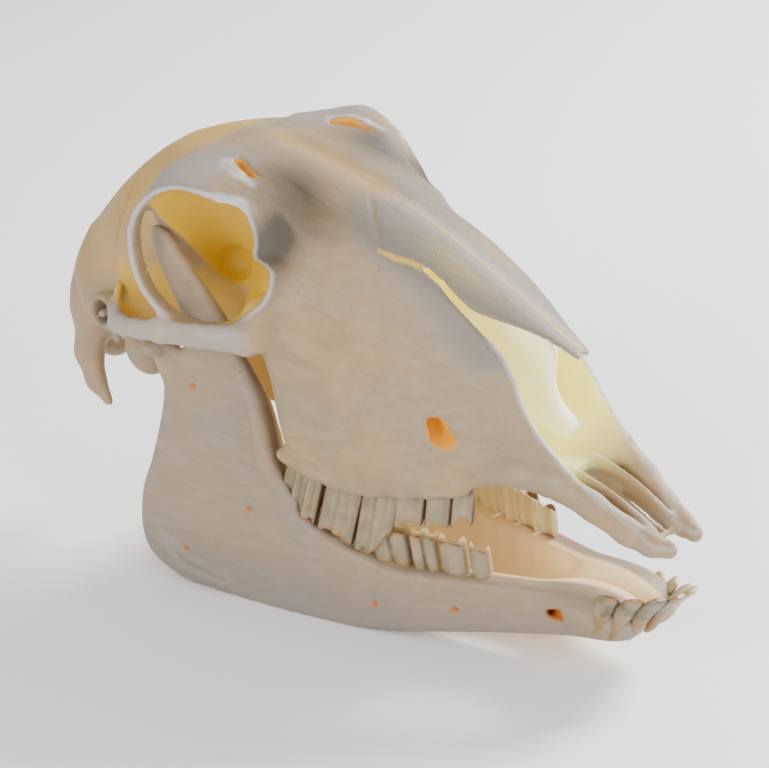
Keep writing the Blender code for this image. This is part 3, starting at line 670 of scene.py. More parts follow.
# %% [markdown]
# ## What the finish needs to know about the bone
# Light bone is not one colour, and light and shade are painted on as well. Its thin rims are paler
# and carry a painted highlight, its hollows are darker, and the light that comes through the thin
# walls is painted amber in the eye sockets and yellow in the nose. Each of these follows the form,
# so it is measured from the distances and kept on the mesh's points.

# %% Measures on the points
def read_grid(field, p, q):
    """Value of a grid at points q, between the eight cells round each."""
    cell = p[0][1, 0, 0] - p[0][0, 0, 0]
    low = np.array([p[i][0, 0, 0] for i in range(3)])
    place = np.clip((q - low) / cell, 0, np.array(field.shape) - 1.001)
    base = place.astype(int)
    rest = place - base
    value = 0
    for i, j, k in ((i, j, k) for i in (0, 1) for j in (0, 1) for k in (0, 1)):
        share = np.abs(1 - i - rest[:, 0]) * np.abs(1 - j - rest[:, 1]) * np.abs(1 - k - rest[:, 2])
        value = value + share * field[base[:, 0] + i, base[:, 1] + j, base[:, 2] + k]
    return value


def drawing_points(obj):
    """Mesh points in the drawing's millimetres, with y counted outwards."""
    q = np.empty(len(obj.data.vertices) * 3)
    obj.data.vertices.foreach_get("co", q)
    q = q.reshape(-1, 3) / MM - SHIFT
    q[:, 1] = np.abs(q[:, 1])
    return q


def store(obj, name, values):
    layer = obj.data.attributes.new(name, "FLOAT", "POINT")
    layer.data.foreach_set("value", np.clip(values, 0, 1).astype(np.float32))


def curvature(field, p, q, reach):
    """Positive on rims and ridges, negative in hollows."""
    total = 0
    for axis in range(3):
        for way in (-reach, reach):
            moved = q.copy()
            moved[:, axis] += way
            total = total + read_grid(field, p, moved)
    return total / 6 / reach


def soft(values, low, high):
    t = np.clip((values - low) / (high - low), 0, 1)
    return t * t * (3 - 2 * t)


# %% Rims and hollows of the head
q = drawing_points(head_bone)
t = (q[:, 0], q[:, 1], q[:, 2])
bend = curvature(bone, head_grid, q, 2.2)
out, wide, angle = socket_place(t)
mouth = along(angle, MOUTH_ANGLE, MOUTH_RADIUS)
lift = mouth_lift(angle)
ring = np.sqrt((wide - mouth - 0.8) ** 2 + (0.45 * (out - lift + 0.8)) ** 2)
ring_rough = np.exp(-((angle - 1.1) / 0.35) ** 2)
notch = outline_distance(t[0], t[2], np.array(NOTCH, float))
beyond_nasal = t[1] - along(t[0], NASAL_X, NASAL_W)
notch_line = (soft(0.9 - np.abs(notch), 0, 0.7) * (1 - 0.7 * soft(t[0] - 184, 0, 10))
              * soft(beyond_nasal, -0.5, 1) * soft(t[0] - 154, 0, 8))
# Paler bone and a painted highlight along sharp edges, the ring of the socket and the edge of the nose
# opening
sharp_edges = 0.6 * soft(bend, 0.4, 0.7) * (1 - 0.85 * soft(t[0] - 160, 0, 10))
ring_line = (0.62 + 0.38 * ring_rough) * soft(1.45 + 1.3 * ring_rough - ring, 0, 1.0)
store(head_bone, "rims", np.maximum(np.maximum(sharp_edges, ring_line), notch_line))
# Darker in the hollows
store(head_bone, "hollows", soft(-bend, 0.05, 0.35) * (1 - 0.8 * soft(t[0] - 164, 0, 10)))

# %% Where light comes through, and the holes
# Painted light: colour and glow where light comes through the thin walls
in_socket = soft(-socket_hollow(t), -1.8, -0.5) * soft(lift - out, 0.8, 2.2)
beside = soft(60 - t[0], 0, 8) * soft(t[0] - 18, 0, 4) * soft(t[2] - 88, 0, 4) * soft(116 - t[2], 0, 8)
beside = beside * soft(38 - t[1], 0, 3) * soft(t[1] - 18, 0, 4)
under = soft(118 - t[2], 4, 14) * soft(24 - t[1], 0, 4) * soft(84 - t[0], 0, 6) * soft(t[0] - 30, 0, 8)
store(head_bone, "amber", np.maximum(in_socket, 0.8 * np.maximum(under, beside)))
mound = np.sqrt(sum(((t[i] - (89, 34, 108)[i]) / (8, 8, 6)[i]) ** 2 for i in range(3)))
store(head_bone, "mound", soft(1.15 - mound, 0, 0.4))
in_nose = soft(-read_grid(bulk, head_grid, q), 1.0, 2.0) * soft(t[0] - 110, 0, 6) * soft(t[2] - 62, 0, 4)
deep_in = soft(-read_grid(bulk, head_grid, q), 1.0, 2.0)
cheek_hole = soft(-cheek_nerve(t), -0.8, -0.15)
store(head_bone, "yellow", in_nose * soft(204 - t[0] - 0.4 * (80 - t[2]), 0, 30) * (1 - cheek_hole))
fold_edge = outline_distance(t[0], t[2], np.array(SCROLL_EDGE, float))
store(head_bone, "fold", soft(fold_edge, -7, -1) * soft(7.4 - t[1], 0, 1) * soft(t[0] - 150, 0, 12)
      * soft(t[2] - 72, 0, 4)
      * deep_in)
brow_hole = soft(-slot(t, BROW_HOLE, (0.1, 0, 1), 6.0), -0.7, 0.1)
store(head_bone, "holes", cheek_hole)
store(head_bone, "brow_holes", brow_hole)
# Painted highlight along the raised lips of the brow holes
lip_line = bar(t, ((66.4, 24.0, 151.3, 1.2), (71, 28.0, 151.0, 1.5), (77, 29.6, 150.2, 1.2),
                   (83, 30, 148, 0.8)))
store(head_bone, "lips", soft(1.4 - lip_line, 0, 2.4) * (1 - brow_hole))

# %% Painted shade and light, stains and seams of the head
# Painted shade: darker before the eye, over the brow and in a small spot on the nose, where the form lies in
# shade
tear = 1.3 * np.exp(-((t[0] - 95.5) / 6.5) ** 2 - ((t[2] - 134) / 14) ** 2) * soft(t[1] - 25, 0, 6)
face = 1.0 * np.exp(-((t[0] - 92) / 18) ** 2 - ((t[1] - 21) / 12) ** 2) * soft(t[2] - 128, 0, 8)
nasal_spot_shade = 0.5 * np.exp(-((t[0] - 163) / 3.5) ** 2 - ((t[2] - 106) / 3) ** 2) * soft(8 - t[1], 0, 2)
store(head_bone, "dusk", np.maximum(np.maximum(tear, face), nasal_spot_shade) * (1 - in_socket))
# Painted shade: grey on the brow shelf, which slopes steeply down to the eye socket
store(head_bone, "shelf", soft(t[0] - along(t[1], BROW_Y, BROW_X), 0, 3)
      * soft(82 - t[0], 0, 14) * soft(t[1] - 12, 0, 10) * soft(t[2] - 138, 0, 6))
arch_line = bar(t, ((86, 43.5, 102, 4.5), (70, 48.5, 101.5, 4), (55, 51, 101, 4), (41, 46.5, 97, 3.3),
                    (28, 42, 94, 3.6), (17, 35, 93, 5)), 1.7)
store(head_bone, "arch", soft(1.6 - arch_line, 0, 2.4) * soft(t[1] - 33, 0, 5))
store(head_bone, "roof", soft(55 - 0.3 * t[1] - t[0], 0, 8) * soft(t[2] - 96, 0, 14)
      * (0.55 + 0.45 * soft(t[2] - 122, 0, 14)))
store(head_bone, "snout", soft(t[0] - 108, 0, 14) * soft(22 - t[1], 0, 5) * soft(t[2] - 96, 0, 8))
store(head_bone, "valley", np.exp(-((t[1] - 0.6) / 3.4) ** 2) * soft(t[0] - 58, 0, 14)
      * soft(118 - t[0], 0, 10)
      * soft(t[2] - 130, 0, 6))
# Painted shade on the sloping sides of the nasal bones; the ridge along the middle stays light
store(head_bone, "nasal_side", soft(t[0] - 100, 0, 16) * soft(t[1] - 1.2, 0, 3.5) * soft(22 - t[1], 0, 5)
      * soft(t[2] - 96, 0, 8))
patch = np.exp(-((t[0] - 146) / 12) ** 2 - ((t[1] - 8) / 4) ** 2) * soft(t[2] - 112, 0, 6)
store(head_bone, "patch", patch)
seam_line = np.min([bar(t, seam, 1.0, 0.5) for seam in SEAMS], axis=0)
store(head_bone, "seams", soft(-seam_line, -0.7, 0.1))
# Painted light: yellow along the start of the slit, where the lit inside of the nose shows through
store(head_bone, "fissure", soft(-bar(t, FISSURE_START, 1.0, 0.5), -0.6, 0.0))
print("measured", len(q), "points of the head")

# %% Measures of the jaws
for side, obj in jaws.items():
    q = drawing_points(obj)
    t = (q[:, 0], q[:, 1], q[:, 2])
    bend = curvature(jaw_distance, jaw_grid, q, 2.2)
    # Paler bone and a painted highlight along the jaw's sharp edges
    store(obj, "rims", soft(bend, 0.35, 0.7))
    # Darker in the hollows
    store(obj, "hollows", soft(-bend, 0.06, 0.4))
    # Painted light: the inner face of the jaw is made paler and glows, as light through the thin bone would
    # light it
    store(obj, "inside", soft(along(t[0], JAW_X, JAW_Y) - t[1], 0.5, 3))
    nerve_hole = rod(t, *CHIN_HOLE, 2.0, 1.6)
    small = [ball(t, (a, b - 0.5, c), (0.7, 3, 0.8)) for (a, b, c), size in SMALL_HOLES]
    store(obj, "holes", soft(-np.minimum(nerve_hole, np.min(small, axis=0)), -0.7, 0.0))
    # Painted shade: darker towards the underside of the jaw
    store(obj, "low", soft(34 - t[2], 0, 30))
print("measured the points of the jaws")

# %% [markdown]
# ## Cheek teeth
# Twelve grinding teeth stand in each jaw, six a side. A sheep's molar is a pair of tall folded
# columns: sharp ribs on one face, round lobes on the other, and a chewing surface worn into
# crescents. The folds are easiest as a distance too: ribs and lobes are waves along the tooth,
# and the chewing surface is a height with cusps and hollows.

# %% Where the cheek teeth stand
TOOTH_NAMES = ("molar_3", "molar_2", "molar_1", "premolar_4", "premolar_3", "premolar_2")
UPPER_ENDS = (87, 103, 117, 130, 139.6, 148.4, 155.6)
LOWER_ENDS = (84.5, 104, 117.5, 131, 141, 150.6, 158.6)
UPPER_LOBES = (3, 2, 2, 1, 1, 1)
LOWER_LOBES = (3, 2, 2, 2, 1, 1)
ROW_X = (84, 104, 117, 130, 141, 158)
UPPER_OUTER = (35.2, 33.2, 31.4, 28.2, 25.1, 19.6)     # outer face of each row
LOWER_OUTER = (33.5, 31.1, 28.8, 25.5, 22.8, 18.4)
UPPER_WIDTH = (9.4, 9.8, 9.4, 8.0, 6.6, 5.0)
LOWER_WIDTH = (7.0, 7.4, 7.0, 6.0, 5.0, 4.2)
UPPER_GUM = (60, 57, 55, 56, 57.5, 59.5)
LOWER_GUM = (48, 35.5, 31, 28.3, 27.5, 28.2)
TIP_X = (84, 92, 98, 107, 113, 120, 125, 130, 141, 157)
UPPER_TIP = (46, 39.5, 36.8, 35.6, 32.4, 31.6, 37, 42.6, 43.6, 46.6)
UPPER_INNER = (54, 52, 51, 49.5, 48.5, 48, 47.5, 47, 46.5, 49)
LOWER_TIP = (49.6, 47.4, 46, 44.2, 43, 42, 41.6, 41.2, 41.0, 39.4)
LEAN = (0.34, 0.32, 0.26, 0.18, 0.16, 0.14)            # crowns lean back as they come out
YAW = (1, -3, 2, -2, 4, -4)                            # and stand a little turned in the row
TOOTH_CELL = 0.36
TOOTH_FACES = 4200


# %% Shape of one cheek tooth
def fold(p, half_length, width, lobes, upper):
    """Side walls of a tooth: ribs on its sharp face and lobes on its round face."""
    u, v, z = p
    turn = (u + half_length) / (2 * half_length) * lobes * math.pi
    lobe = (np.abs(np.sin(turn)) + 0.01) ** 0.7
    rib = np.abs(np.cos(turn)) ** 3 + 0.1 * np.abs(np.sin(turn)) ** 12
    sharp = width / 2 - 1.7 + 1.7 * rib
    smooth = width / 2 - 2.2 + 2.2 * lobe
    outer, inner = (sharp, smooth) if upper else (smooth, sharp)
    wall = -blend(-(v - outer), inner + v, 0.7)
    return -blend(-wall, half_length - np.abs(u), 1.2 if upper else 2.2)


def cheek_tooth(jaw, number, side, sign):
    upper = jaw == "upper"
    way = 1 if upper else -1
    ends, outer, gum = (UPPER_ENDS, UPPER_OUTER, UPPER_GUM) if upper else (LOWER_ENDS, LOWER_OUTER, LOWER_GUM)
    lobes = (UPPER_LOBES if upper else LOWER_LOBES)[number]
    width = (UPPER_WIDTH if upper else LOWER_WIDTH)[number]
    mid = (ends[number] + ends[number + 1]) / 2
    outer_y = along(np.array([mid - 0.5, mid, mid + 0.5]), ROW_X, outer)
    turn = math.atan2(outer_y[2] - outer_y[0], 1.0) + math.radians(YAW[number] * (1 if upper else -0.7))
    half_length = (ends[number + 1] - ends[number]) / 2 / math.cos(turn) - 0.2
    centre_x = mid + math.sin(turn) * width / 2
    centre_y = outer_y[1] - math.cos(turn) * width / 2
    gum_z = float(along(np.array([mid]), ROW_X, gum)[0])
    tip_z = float(along(np.array([mid]), TIP_X, UPPER_TIP if upper else LOWER_TIP)[0])
    lean = LEAN[number] * (1 if upper else 0.6)
    low, high = sorted((gum_z + way * 5, tip_z - way * 5))
    reach = half_length + 1.5 + lean * (high - low) / 2
    p = grid((-reach, -width / 2 - 1.5, low - 1), (reach, width / 2 + 1.5, high + 1), TOOTH_CELL)
    u, v, z = p
    x = centre_x + u * math.cos(turn) - v * math.sin(turn)
    straight = u + way * lean * ((gum_z + tip_z) / 2 - z)
    phase = (straight + half_length) / (2 * half_length) * lobes * math.pi
    outwards = np.clip(1.2 * (v / width + 0.5), 0, 1)
    if upper:
        inner_tip = along(x, TIP_X, UPPER_INNER)
        bite = inner_tip + (along(x, TIP_X, UPPER_TIP) - inner_tip) * outwards ** 1.9
    else:
        bite = along(x, TIP_X, LOWER_TIP) + 2.2 * (0.6 - outwards)
    edge = np.clip(np.abs(v) / (width / 2), 0, 1) ** 2
    cusp = 1.5 * np.abs(np.sin(phase)) ** 0.7 * (0.35 + 0.65 * edge)
    hollow = 1.6 * np.abs(np.sin(phase)) * np.exp(-((np.abs(v) - 0.12 * width) / (0.16 * width)) ** 2)
    chew = bite + way * (1.5 - cusp + hollow)
    neck = 0.13 * np.clip((z - gum_z) * way + 3.5, 0, 9)
    field = -blend(-(fold((straight, v, z), half_length, width, lobes, upper) + neck),
                   -(way * (chew - z)), 0.45)
    field = np.maximum(field, way * (z - (gum_z + way * 4.6)))
    local, faces = skin(field, p)
    q = local.copy()
    q[:, 0] = centre_x + local[:, 0] * math.cos(turn) - local[:, 1] * math.sin(turn)
    q[:, 1] = sign * (centre_y + local[:, 0] * math.sin(turn) + local[:, 1] * math.cos(turn))
    name = jaw + "_" + TOOTH_NAMES[number] + "_" + side
    obj = make_object("tooth_" + name, q, faces if sign > 0 else faces[:, ::-1])
    bend = curvature(field, p, local, 0.9)
    # Brown stain in the folds, and painted shade at the tooth's ends, where it meets the next tooth
    at_end = soft(np.abs(read_grid(straight, p, local)) - half_length + 1.1, 0, 0.9)
    store(obj, "grooves", np.maximum(soft(-bend, 0.02, 0.36), at_end) * (1 if upper else 0.5))
    store(obj, "worn", soft(2.6 - way * (local[:, 2] - read_grid(chew, p, local)), 0, 2.6))
    store(obj, "gum", soft(2.5 + way * (local[:, 2] - gum_z), 0, 3.5))
    # inner face, which carries painted light in the finish
    store(obj, "inner", soft(-local[:, 1], -0.2 * width, 0.3 * width))
    mod = obj.modifiers.new("even", "SMOOTH")
    mod.factor = 0.5
    mod.iterations = 1
    if len(obj.data.polygons) > TOOTH_FACES:
        mod = obj.modifiers.new("fewer", "DECIMATE")
        mod.ratio = TOOTH_FACES / len(obj.data.polygons)
    apply_modifiers(obj)
    obj.data.shade_smooth()
    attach(obj, "root")
    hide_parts(name)
    return obj


# %% All cheek teeth
cheek_teeth = []
for side, sign in (("right", -1), ("left", 1)):
    for jaw in ("upper", "lower"):
        cheek_teeth += [cheek_tooth(jaw, number, side, sign) for number in range(6)]
print(len(cheek_teeth), "cheek teeth,", sum(len(o.data.polygons) for o in cheek_teeth), "faces")

# %% [markdown]
# ## Front teeth
# A sheep has eight front teeth, all in the lower jaw, each a peg that widens into a thin blade.
# One is made as by hand: a ring is pulled up step by step and widened or flattened at each
# step, and its end is rounded. The others are copies, each turned into its place.

# %% One front tooth
BLADE = (
    # height above the gum, half width, half thickness, how far the middle leans forward
    (-5, 1.6, 1.6, -0.3), (-2.5, 1.9, 1.8, 0.0), (0, 2.3, 1.9, 0.3), (2.5, 2.9, 1.9, 0.6), (5, 3.5, 1.7, 0.7),
    (8, 3.85, 1.6, 0.5), (11, 3.7, 1.4, 0.0), (13, 2.9, 1.1, -0.4), (13.8, 1.9, 0.6, -0.6),
)
BLADE_TOP = 13.8

bpy.ops.object.select_all(action="DESELECT")
bpy.ops.mesh.primitive_circle_add(vertices=18, radius=1.0, fill_type="NGON", location=(0, 0, -9))
blade = bpy.context.object
blade.name = "front tooth"
bpy.ops.object.mode_set(mode="EDIT")
bpy.ops.mesh.select_all(action="SELECT")
width_now, thick_now, lean_now, height_now = 1.0, 1.0, 0.0, -9.0
for height, wide, thick, lean in BLADE:
    pull = (0, lean - lean_now, height - height_now)
    bpy.ops.mesh.extrude_region_move(TRANSFORM_OT_translate={"value": pull})
    bpy.ops.transform.resize(value=(wide / width_now, thick / thick_now, 1),
                             center_override=(0, lean, height))
    width_now, thick_now, lean_now, height_now = wide, thick, lean, height
bpy.ops.mesh.inset(thickness=0.12, depth=-0.06)
bpy.ops.mesh.select_all(action="SELECT")
bpy.ops.mesh.normals_make_consistent(inside=False)
bpy.ops.object.mode_set(mode="OBJECT")
blade.data.transform(Matrix.Translation(blade.location))
blade.location = (0, 0, 0)
rounding = blade.modifiers.new("rounding", "SUBSURF")
rounding.levels = rounding.render_levels = 2
apply_modifiers(blade)
print("front tooth of", len(blade.data.polygons), "faces")

# %% Front teeth in their places
FRONT = (
    # side, gum, tip, half width of the crown, how far its edge turns with the curve of the row
    ("right", (211.5, 3.4, 25.5), (219.6, 3.0, 35.4), 3.8, 8),
    ("right", (208.5, 9.0, 25.0), (216.8, 8.8, 36.0), 3.9, 26),
    ("right", (204.0, 12.6, 25.0), (211.2, 13.4, 36.0), 4.0, 42),
    ("right", (198.6, 14.6, 25.4), (204.0, 16.6, 36.4), 4.1, 60),
    ("left", (211.0, 3.6, 25.0), (219.4, 4.4, 34.4), 3.8, 8),
    ("left", (207.6, 9.0, 22.4), (213.6, 8.8, 30.8), 3.7, 24),
    ("left", (202.6, 12.0, 21.5), (206.6, 12.4, 29.8), 3.6, 36),
    ("left", (196.6, 13.6, 21.5), (199.8, 14.4, 28.6), 3.6, 50),
)
front_teeth = []
for side, gum, tip, wide, turn in FRONT:
    sign = 1 if side == "left" else -1
    number = len([tooth for tooth in front_teeth if tooth.name.endswith(side)])
    axis = Vector(tip) - Vector(gum)
    stretch = axis.length / BLADE_TOP
    axis.normalize()
    across = Vector((-math.sin(math.radians(turn)), math.cos(math.radians(turn)), 0))
    across = (across - axis * across.dot(axis)).normalized()
    ahead = axis.cross(across)
    size = wide / 3.9
    turned = Matrix(((across.x * size, ahead.x, axis.x * stretch, gum[0] + SHIFT[0]),
                     (across.y * size, ahead.y, axis.y * stretch, gum[1] + SHIFT[1]),
                     (across.z * size, ahead.z, axis.z * stretch, gum[2] + SHIFT[2]), (0, 0, 0, 1)))
    mesh = blade.data.copy()
    heights = np.array([v.co.z for v in mesh.vertices])
    mesh.transform(Matrix.Diagonal((MM, MM, MM, 1)) @ turned)
    if turned.determinant() < 0:
        mesh.flip_normals()
    if sign < 0:
        mesh.transform(Matrix.Diagonal((1, -1, 1, 1)))
        mesh.flip_normals()
    obj = bpy.data.objects.new("front_tooth_" + str(number + 1) + "_" + side, mesh)
    bpy.context.scene.collection.objects.link(obj)
    mesh.shade_smooth()
    store(obj, "worn", soft(heights, 11.6, 13.8))
    store(obj, "gum", soft(4.6 - heights, 0, 4.5))
    # Stain and painted shade on the blade's edges, stronger on the right teeth
    sides = np.array([abs(v.co.x) for v in blade.data.vertices])
    store(obj, "grooves", soft(sides, 2.9, 3.9) * 0.5 * (1 if side == "right" else 0.4))
    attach(obj, "root")
    front_teeth.append(obj)
bpy.data.objects.remove(blade, do_unlink=True)
print(len(front_teeth), "front teeth")

# %% [markdown]
# ## Finishes
# Cleaned bone is matt, with a fine grain, tiny pores and slow changes from warm to cool. One
# node group gives that grain to every bone, so all of them belong to one animal. Each bone then
# lays its own colours over it, by the measures kept on its points: stains and seams, and also
# painted shade, painted highlights and a painted glow where light comes through thin bone.

# %% Helpers for materials
def screen(r, g, b):
    """A colour as it looks on a screen, 0 to 255, turned into the shader's own scale."""
    return tuple(((c / 255 + 0.055) / 1.055) ** 2.4 for c in (r, g, b)) + (1,)


def put(tree, kind, sockets=(), **settings):
    """Adds a node; a socket takes a number, a colour or another node's output."""
    made = tree.nodes.new(kind)
    for key, value in settings.items():
        setattr(made, key, value)
    for key, value in dict(sockets).items():
        if isinstance(value, bpy.types.NodeSocket):
            tree.links.new(value, made.inputs[key])
        else:
            made.inputs[key].default_value = value
    return made


def mix(tree, amount, first, second, way="MIX"):
    made = tree.nodes.new("ShaderNodeMix")
    made.data_type = "RGBA"
    made.blend_type = way
    for socket, value in ((made.inputs[0], amount), (made.inputs[6], first), (made.inputs[7], second)):
        if isinstance(value, bpy.types.NodeSocket):
            tree.links.new(value, socket)
        else:
            socket.default_value = value
    return made.outputs[2]


def times(tree, a, b, how="MULTIPLY"):
    return put(tree, "ShaderNodeMath", {0: a, 1: b}, operation=how).outputs[0]


def measured(tree, name):
    return put(tree, "ShaderNodeAttribute", attribute_name=name).outputs["Fac"]


def spread(tree, value, low, high):
    """The value stretched so that low gives 0 and high gives 1, smoothly."""
    return put(tree, "ShaderNodeMapRange", {"Value": value, "From Min": low, "From Max": high},
               interpolation_type="SMOOTHSTEP").outputs["Result"]


# %% Bone grain
grain = bpy.data.node_groups.new("bone grain", "ShaderNodeTree")
for name, kind in (("Vector", "NodeSocketVector"), ("Warm", "NodeSocketColor"), ("Cool", "NodeSocketColor"),
                   ("Grain", "NodeSocketFloat")):
    grain.interface.new_socket(name, in_out="INPUT", socket_type=kind)
for name, kind in (("Colour", "NodeSocketColor"), ("Height", "NodeSocketFloat"),
                   ("Roughness", "NodeSocketFloat")):
    grain.interface.new_socket(name, in_out="OUTPUT", socket_type=kind)
source = grain.nodes.new("NodeGroupInput")
sink = grain.nodes.new("NodeGroupOutput")
cloudy = put(grain, "ShaderNodeTexNoise", {"Vector": source.outputs["Vector"], "Scale": 34.0, "Detail": 4.0,
                                           "Roughness": 0.6}).outputs["Fac"]
mottled = put(grain, "ShaderNodeTexNoise", {"Vector": source.outputs["Vector"], "Scale": 210.0, "Detail": 5.0,
                                            "Roughness": 0.65}).outputs["Fac"]
fibres = put(grain, "ShaderNodeMapping", {"Vector": source.outputs["Vector"], "Scale": (60, 420, 420)})
streaks = put(grain, "ShaderNodeTexNoise", {"Vector": fibres.outputs["Vector"], "Scale": 1.0,
                                            "Detail": 3.0}).outputs["Fac"]
pits = put(grain, "ShaderNodeTexVoronoi", {"Vector": source.outputs["Vector"], "Scale": 520.0,
                                           "Randomness": 1.0}).outputs["Distance"]
patchy = put(grain, "ShaderNodeTexNoise", {"Vector": source.outputs["Vector"], "Scale": 85.0, "Detail": 3.0,
                                           "Roughness": 0.6}).outputs["Fac"]
pores = times(grain, spread(grain, pits, 0.2, 0.06), spread(grain, patchy, 0.5, 0.62))
tone = mix(grain, spread(grain, cloudy, 0.36, 0.64), source.outputs["Cool"], source.outputs["Warm"])
tone = mix(grain, times(grain, spread(grain, mottled, 0.35, 0.75), 0.22), tone, screen(150, 128, 104))
tone = mix(grain, times(grain, spread(grain, streaks, 0.4, 0.75), 0.1), tone, screen(206, 196, 180))
tone = mix(grain, times(grain, spread(grain, patchy, 0.5, 0.7), 0.3), tone, screen(142, 118, 88))
tone = mix(grain, times(grain, pores, 0.25), tone, screen(120, 92, 66))
height = times(grain, times(grain, mottled, 0.6), times(grain, streaks, 0.5), "ADD")
height = times(grain, height, times(grain, pores, 0.7), "SUBTRACT")
grain.links.new(tone, sink.inputs["Colour"])
grain.links.new(times(grain, height, source.outputs["Grain"]), sink.inputs["Height"])
grain.links.new(put(grain, "ShaderNodeMapRange", {"Value": mottled, "To Min": 0.46,
                                                  "To Max": 0.66}).outputs["Result"],
                sink.inputs["Roughness"])
print("bone grain group with", len(grain.nodes), "nodes")

# %% Bone materials
RIM_WHITE = screen(196, 198, 204)
HOLLOW_DARK = screen(104, 82, 54)
AMBER = screen(188, 148, 22)
NOSE_YELLOW = screen(252, 244, 160)
NERVE_ORANGE = screen(206, 138, 22)
SEAM_OCHRE = screen(136, 96, 38)
# colour of the painted shade before the eye and over the brow
PAINTED_SHADE_DARK = screen(58, 51, 38)
INSIDE_LIGHT_TAN = screen(232, 204, 150)


def bone_material(name, warm, cool, layers, grain_size=1.0, glow=0.0, glow_layers=(), midline=False):
    """Bone with stains, painted shade and painted highlights: layers are (measure, colour, amount), laid on
    in turn.
    """
    made = bpy.data.materials.new(name)
    made.use_nodes = True
    tree = made.node_tree
    shader = tree.nodes["Principled BSDF"]
    place = put(tree, "ShaderNodeTexCoord").outputs["Object"]
    base = put(tree, "ShaderNodeGroup", node_tree=grain)
    tree.links.new(place, base.inputs["Vector"])
    base.inputs["Warm"].default_value = warm
    base.inputs["Cool"].default_value = cool
    base.inputs["Grain"].default_value = grain_size
    colour = base.outputs["Colour"]
    for measure, tint, amount in layers:
        colour = mix(tree, times(tree, measured(tree, measure), amount), colour, tint)
    if midline:
        sideways = put(tree, "ShaderNodeSeparateXYZ", {"Vector": place}).outputs["Y"]
        line = spread(tree, times(tree, sideways, 0.0, "ABSOLUTE"), 0.0006, 0.0002)
        line = times(tree, line, measured(tree, "snout"))
        colour = mix(tree, times(tree, line, 0.85), colour, screen(196, 160, 70))
    tree.links.new(colour, shader.inputs["Base Color"])
    tree.links.new(base.outputs["Roughness"], shader.inputs["Roughness"])
    bump = put(tree, "ShaderNodeBump", {"Height": base.outputs["Height"], "Strength": 0.5,
                                        "Distance": 0.0008})
    tree.links.new(bump.outputs["Normal"], shader.inputs["Normal"])
    # Emission: a painted glow of the light that comes through the thin walls, though the bone is no lamp
    if glow:
        light = (0, 0, 0, 1)
        for measure, tint, amount in glow_layers:
            light = mix(tree, times(tree, measured(tree, measure), amount), light, tint)
        tree.links.new(light, shader.inputs["Emission Color"])
        shader.inputs["Emission Strength"].default_value = glow
    shader.inputs["Subsurface Weight"].default_value = 0.12
    shader.inputs["Subsurface Radius"].default_value = (0.004, 0.0025, 0.0012)
    shader.inputs["Subsurface Scale"].default_value = 1.0
    return made


# The amber, yellow, white and orange of the sockets, nose and holes are painted light that comes through the
# thin bone, and they glow with it
head_finish = bone_material(
    "head bone", screen(157, 130, 89), screen(143, 125, 98),
    (("roof", screen(180, 142, 66), 1.0), ("snout", screen(154, 143, 134), 0.7),
     ("nasal_side", screen(114, 106, 92), 0.8), ("patch", screen(156, 134, 74), 0.6),
     ("dusk", PAINTED_SHADE_DARK, 0.9), ("shelf", screen(134, 130, 128), 0.6), ("valley", screen(170, 132, 70), 0.55),
     ("hollows", HOLLOW_DARK, 0.4), ("arch", screen(166, 167, 168), 0.35), ("rims", RIM_WHITE, 0.75),
     ("lips", screen(204, 200, 194), 0.6), ("amber", AMBER, 0.95), ("mound", screen(206, 176, 104), 0.75),
     ("yellow", NOSE_YELLOW, 0.92), ("fold", screen(244, 242, 222), 0.7), ("holes", NERVE_ORANGE, 1.0),
     ("brow_holes", screen(206, 152, 46), 1.0), ("seams", SEAM_OCHRE, 0.35),
     ("fissure", screen(216, 178, 66), 0.9)),
    glow=0.34, glow_layers=(("amber", screen(144, 112, 10), 1.0), ("yellow", screen(250, 240, 150), 1.0),
                            ("fold", screen(250, 248, 220), 1.0), ("holes", screen(150, 92, 0), 0.6),
                            ("brow_holes", screen(150, 100, 20), 0.6)), midline=True)
head_bone.data.materials.append(head_finish)
for side in jaws:
    # The inner face carries painted light and glow, the underside painted shade
    finish = bone_material(
        "jaw bone " + side, screen(148, 127, 97), screen(136, 122, 104),
        (("low", screen(116, 109, 106), 0.62), ("inside", INSIDE_LIGHT_TAN, 0.9), ("hollows", HOLLOW_DARK, 0.4),
         ("rims", RIM_WHITE, 0.3), ("holes", screen(176, 92, 14), 1.0)),
        0.9, glow=0.3, glow_layers=(("inside", screen(216, 170, 104), 1.0),))
    jaws[side].data.materials.append(finish)
print("bone materials made")

# %% [markdown]
# Teeth are glossier than bone. Plant juice has stained them: brown in the folds and along the
# gum, dull ochre where chewing has opened the softer core. Painted shade darkens the ends of the
# cheek teeth where they meet, the inner faces of the cheek teeth get a painted glow, and the four
# left front teeth get a paler, lit copy of the finish while the right ones get a darker, shaded one.

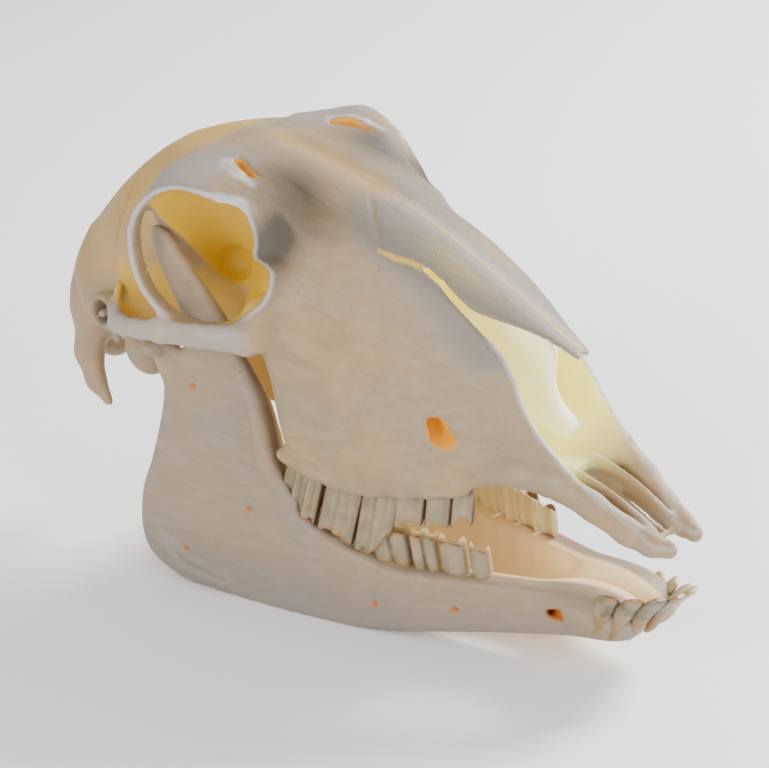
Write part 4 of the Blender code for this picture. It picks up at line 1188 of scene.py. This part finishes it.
# %% Tooth finish
def tooth_material(name, pale, core, inner=False):
    made = bpy.data.materials.new(name)
    made.use_nodes = True
    tree = made.node_tree
    shader = tree.nodes["Principled BSDF"]
    place = put(tree, "ShaderNodeTexCoord").outputs["Object"]
    cloudy = put(tree, "ShaderNodeTexNoise", {"Vector": place, "Scale": 190.0, "Detail": 4.0}).outputs["Fac"]
    upright = put(tree, "ShaderNodeMapping", {"Vector": place, "Scale": (900, 900, 110)})
    lines = put(tree, "ShaderNodeTexNoise", {"Vector": upright.outputs["Vector"], "Scale": 1.0,
                                             "Detail": 3.0}).outputs["Fac"]
    colour = mix(tree, times(tree, spread(tree, cloudy, 0.35, 0.65), 0.5), pale, screen(166, 148, 112))
    colour = mix(tree, times(tree, spread(tree, lines, 0.55, 0.75), 0.4), colour, screen(176, 150, 112))
    patches = spread(tree, cloudy, 0.4, 0.6)
    edge = times(tree, measured(tree, "worn"), times(tree, patches, 0.8))
    colour = mix(tree, edge, colour, core)
    colour = mix(tree, times(tree, measured(tree, "gum"), 0.6), colour, screen(150, 108, 56))
    # stain in the folds and painted shade between the teeth
    colour = mix(tree, times(tree, measured(tree, "grooves"), 0.9), colour, screen(82, 54, 26))
    # Painted light: the inner faces are made paler and glow, as light coming through the far teeth would show
    # them
    if inner:
        colour = mix(tree, times(tree, measured(tree, "inner"), 0.75), colour, screen(226, 204, 146))
        light = mix(tree, measured(tree, "inner"), (0, 0, 0, 1), screen(232, 200, 120))
        tree.links.new(light, shader.inputs["Emission Color"])
        shader.inputs["Emission Strength"].default_value = 0.22
    tree.links.new(colour, shader.inputs["Base Color"])
    rough = put(tree, "ShaderNodeMapRange", {"Value": lines, "To Min": 0.28,
                                             "To Max": 0.46}).outputs["Result"]
    tree.links.new(rough, shader.inputs["Roughness"])
    bump = put(tree, "ShaderNodeBump", {"Height": lines, "Strength": 0.3, "Distance": 0.0004})
    tree.links.new(bump.outputs["Normal"], shader.inputs["Normal"])
    return made


cheek_finish = tooth_material("cheek tooth", screen(134, 120, 94), screen(150, 92, 34), inner=True)
# Painted light and shade: the right front teeth get a darker copy of the finish, the left ones a paler, lit
# copy
shaded_front_finish = tooth_material("front tooth", screen(92, 82, 58), screen(146, 106, 52))
lit_front_finish = tooth_material("lit front tooth", screen(176, 162, 124), screen(190, 160, 100))
for obj in cheek_teeth:
    obj.data.materials.append(cheek_finish)
for obj in front_teeth:
    obj.data.materials.append(shaded_front_finish if obj.name.endswith("right") else lit_front_finish)
print("tooth materials made")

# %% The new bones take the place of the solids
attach(head_bone, "root")
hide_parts("cranium")
for side, obj in jaws.items():
    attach(obj, "root")
    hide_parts("mandible_" + side)
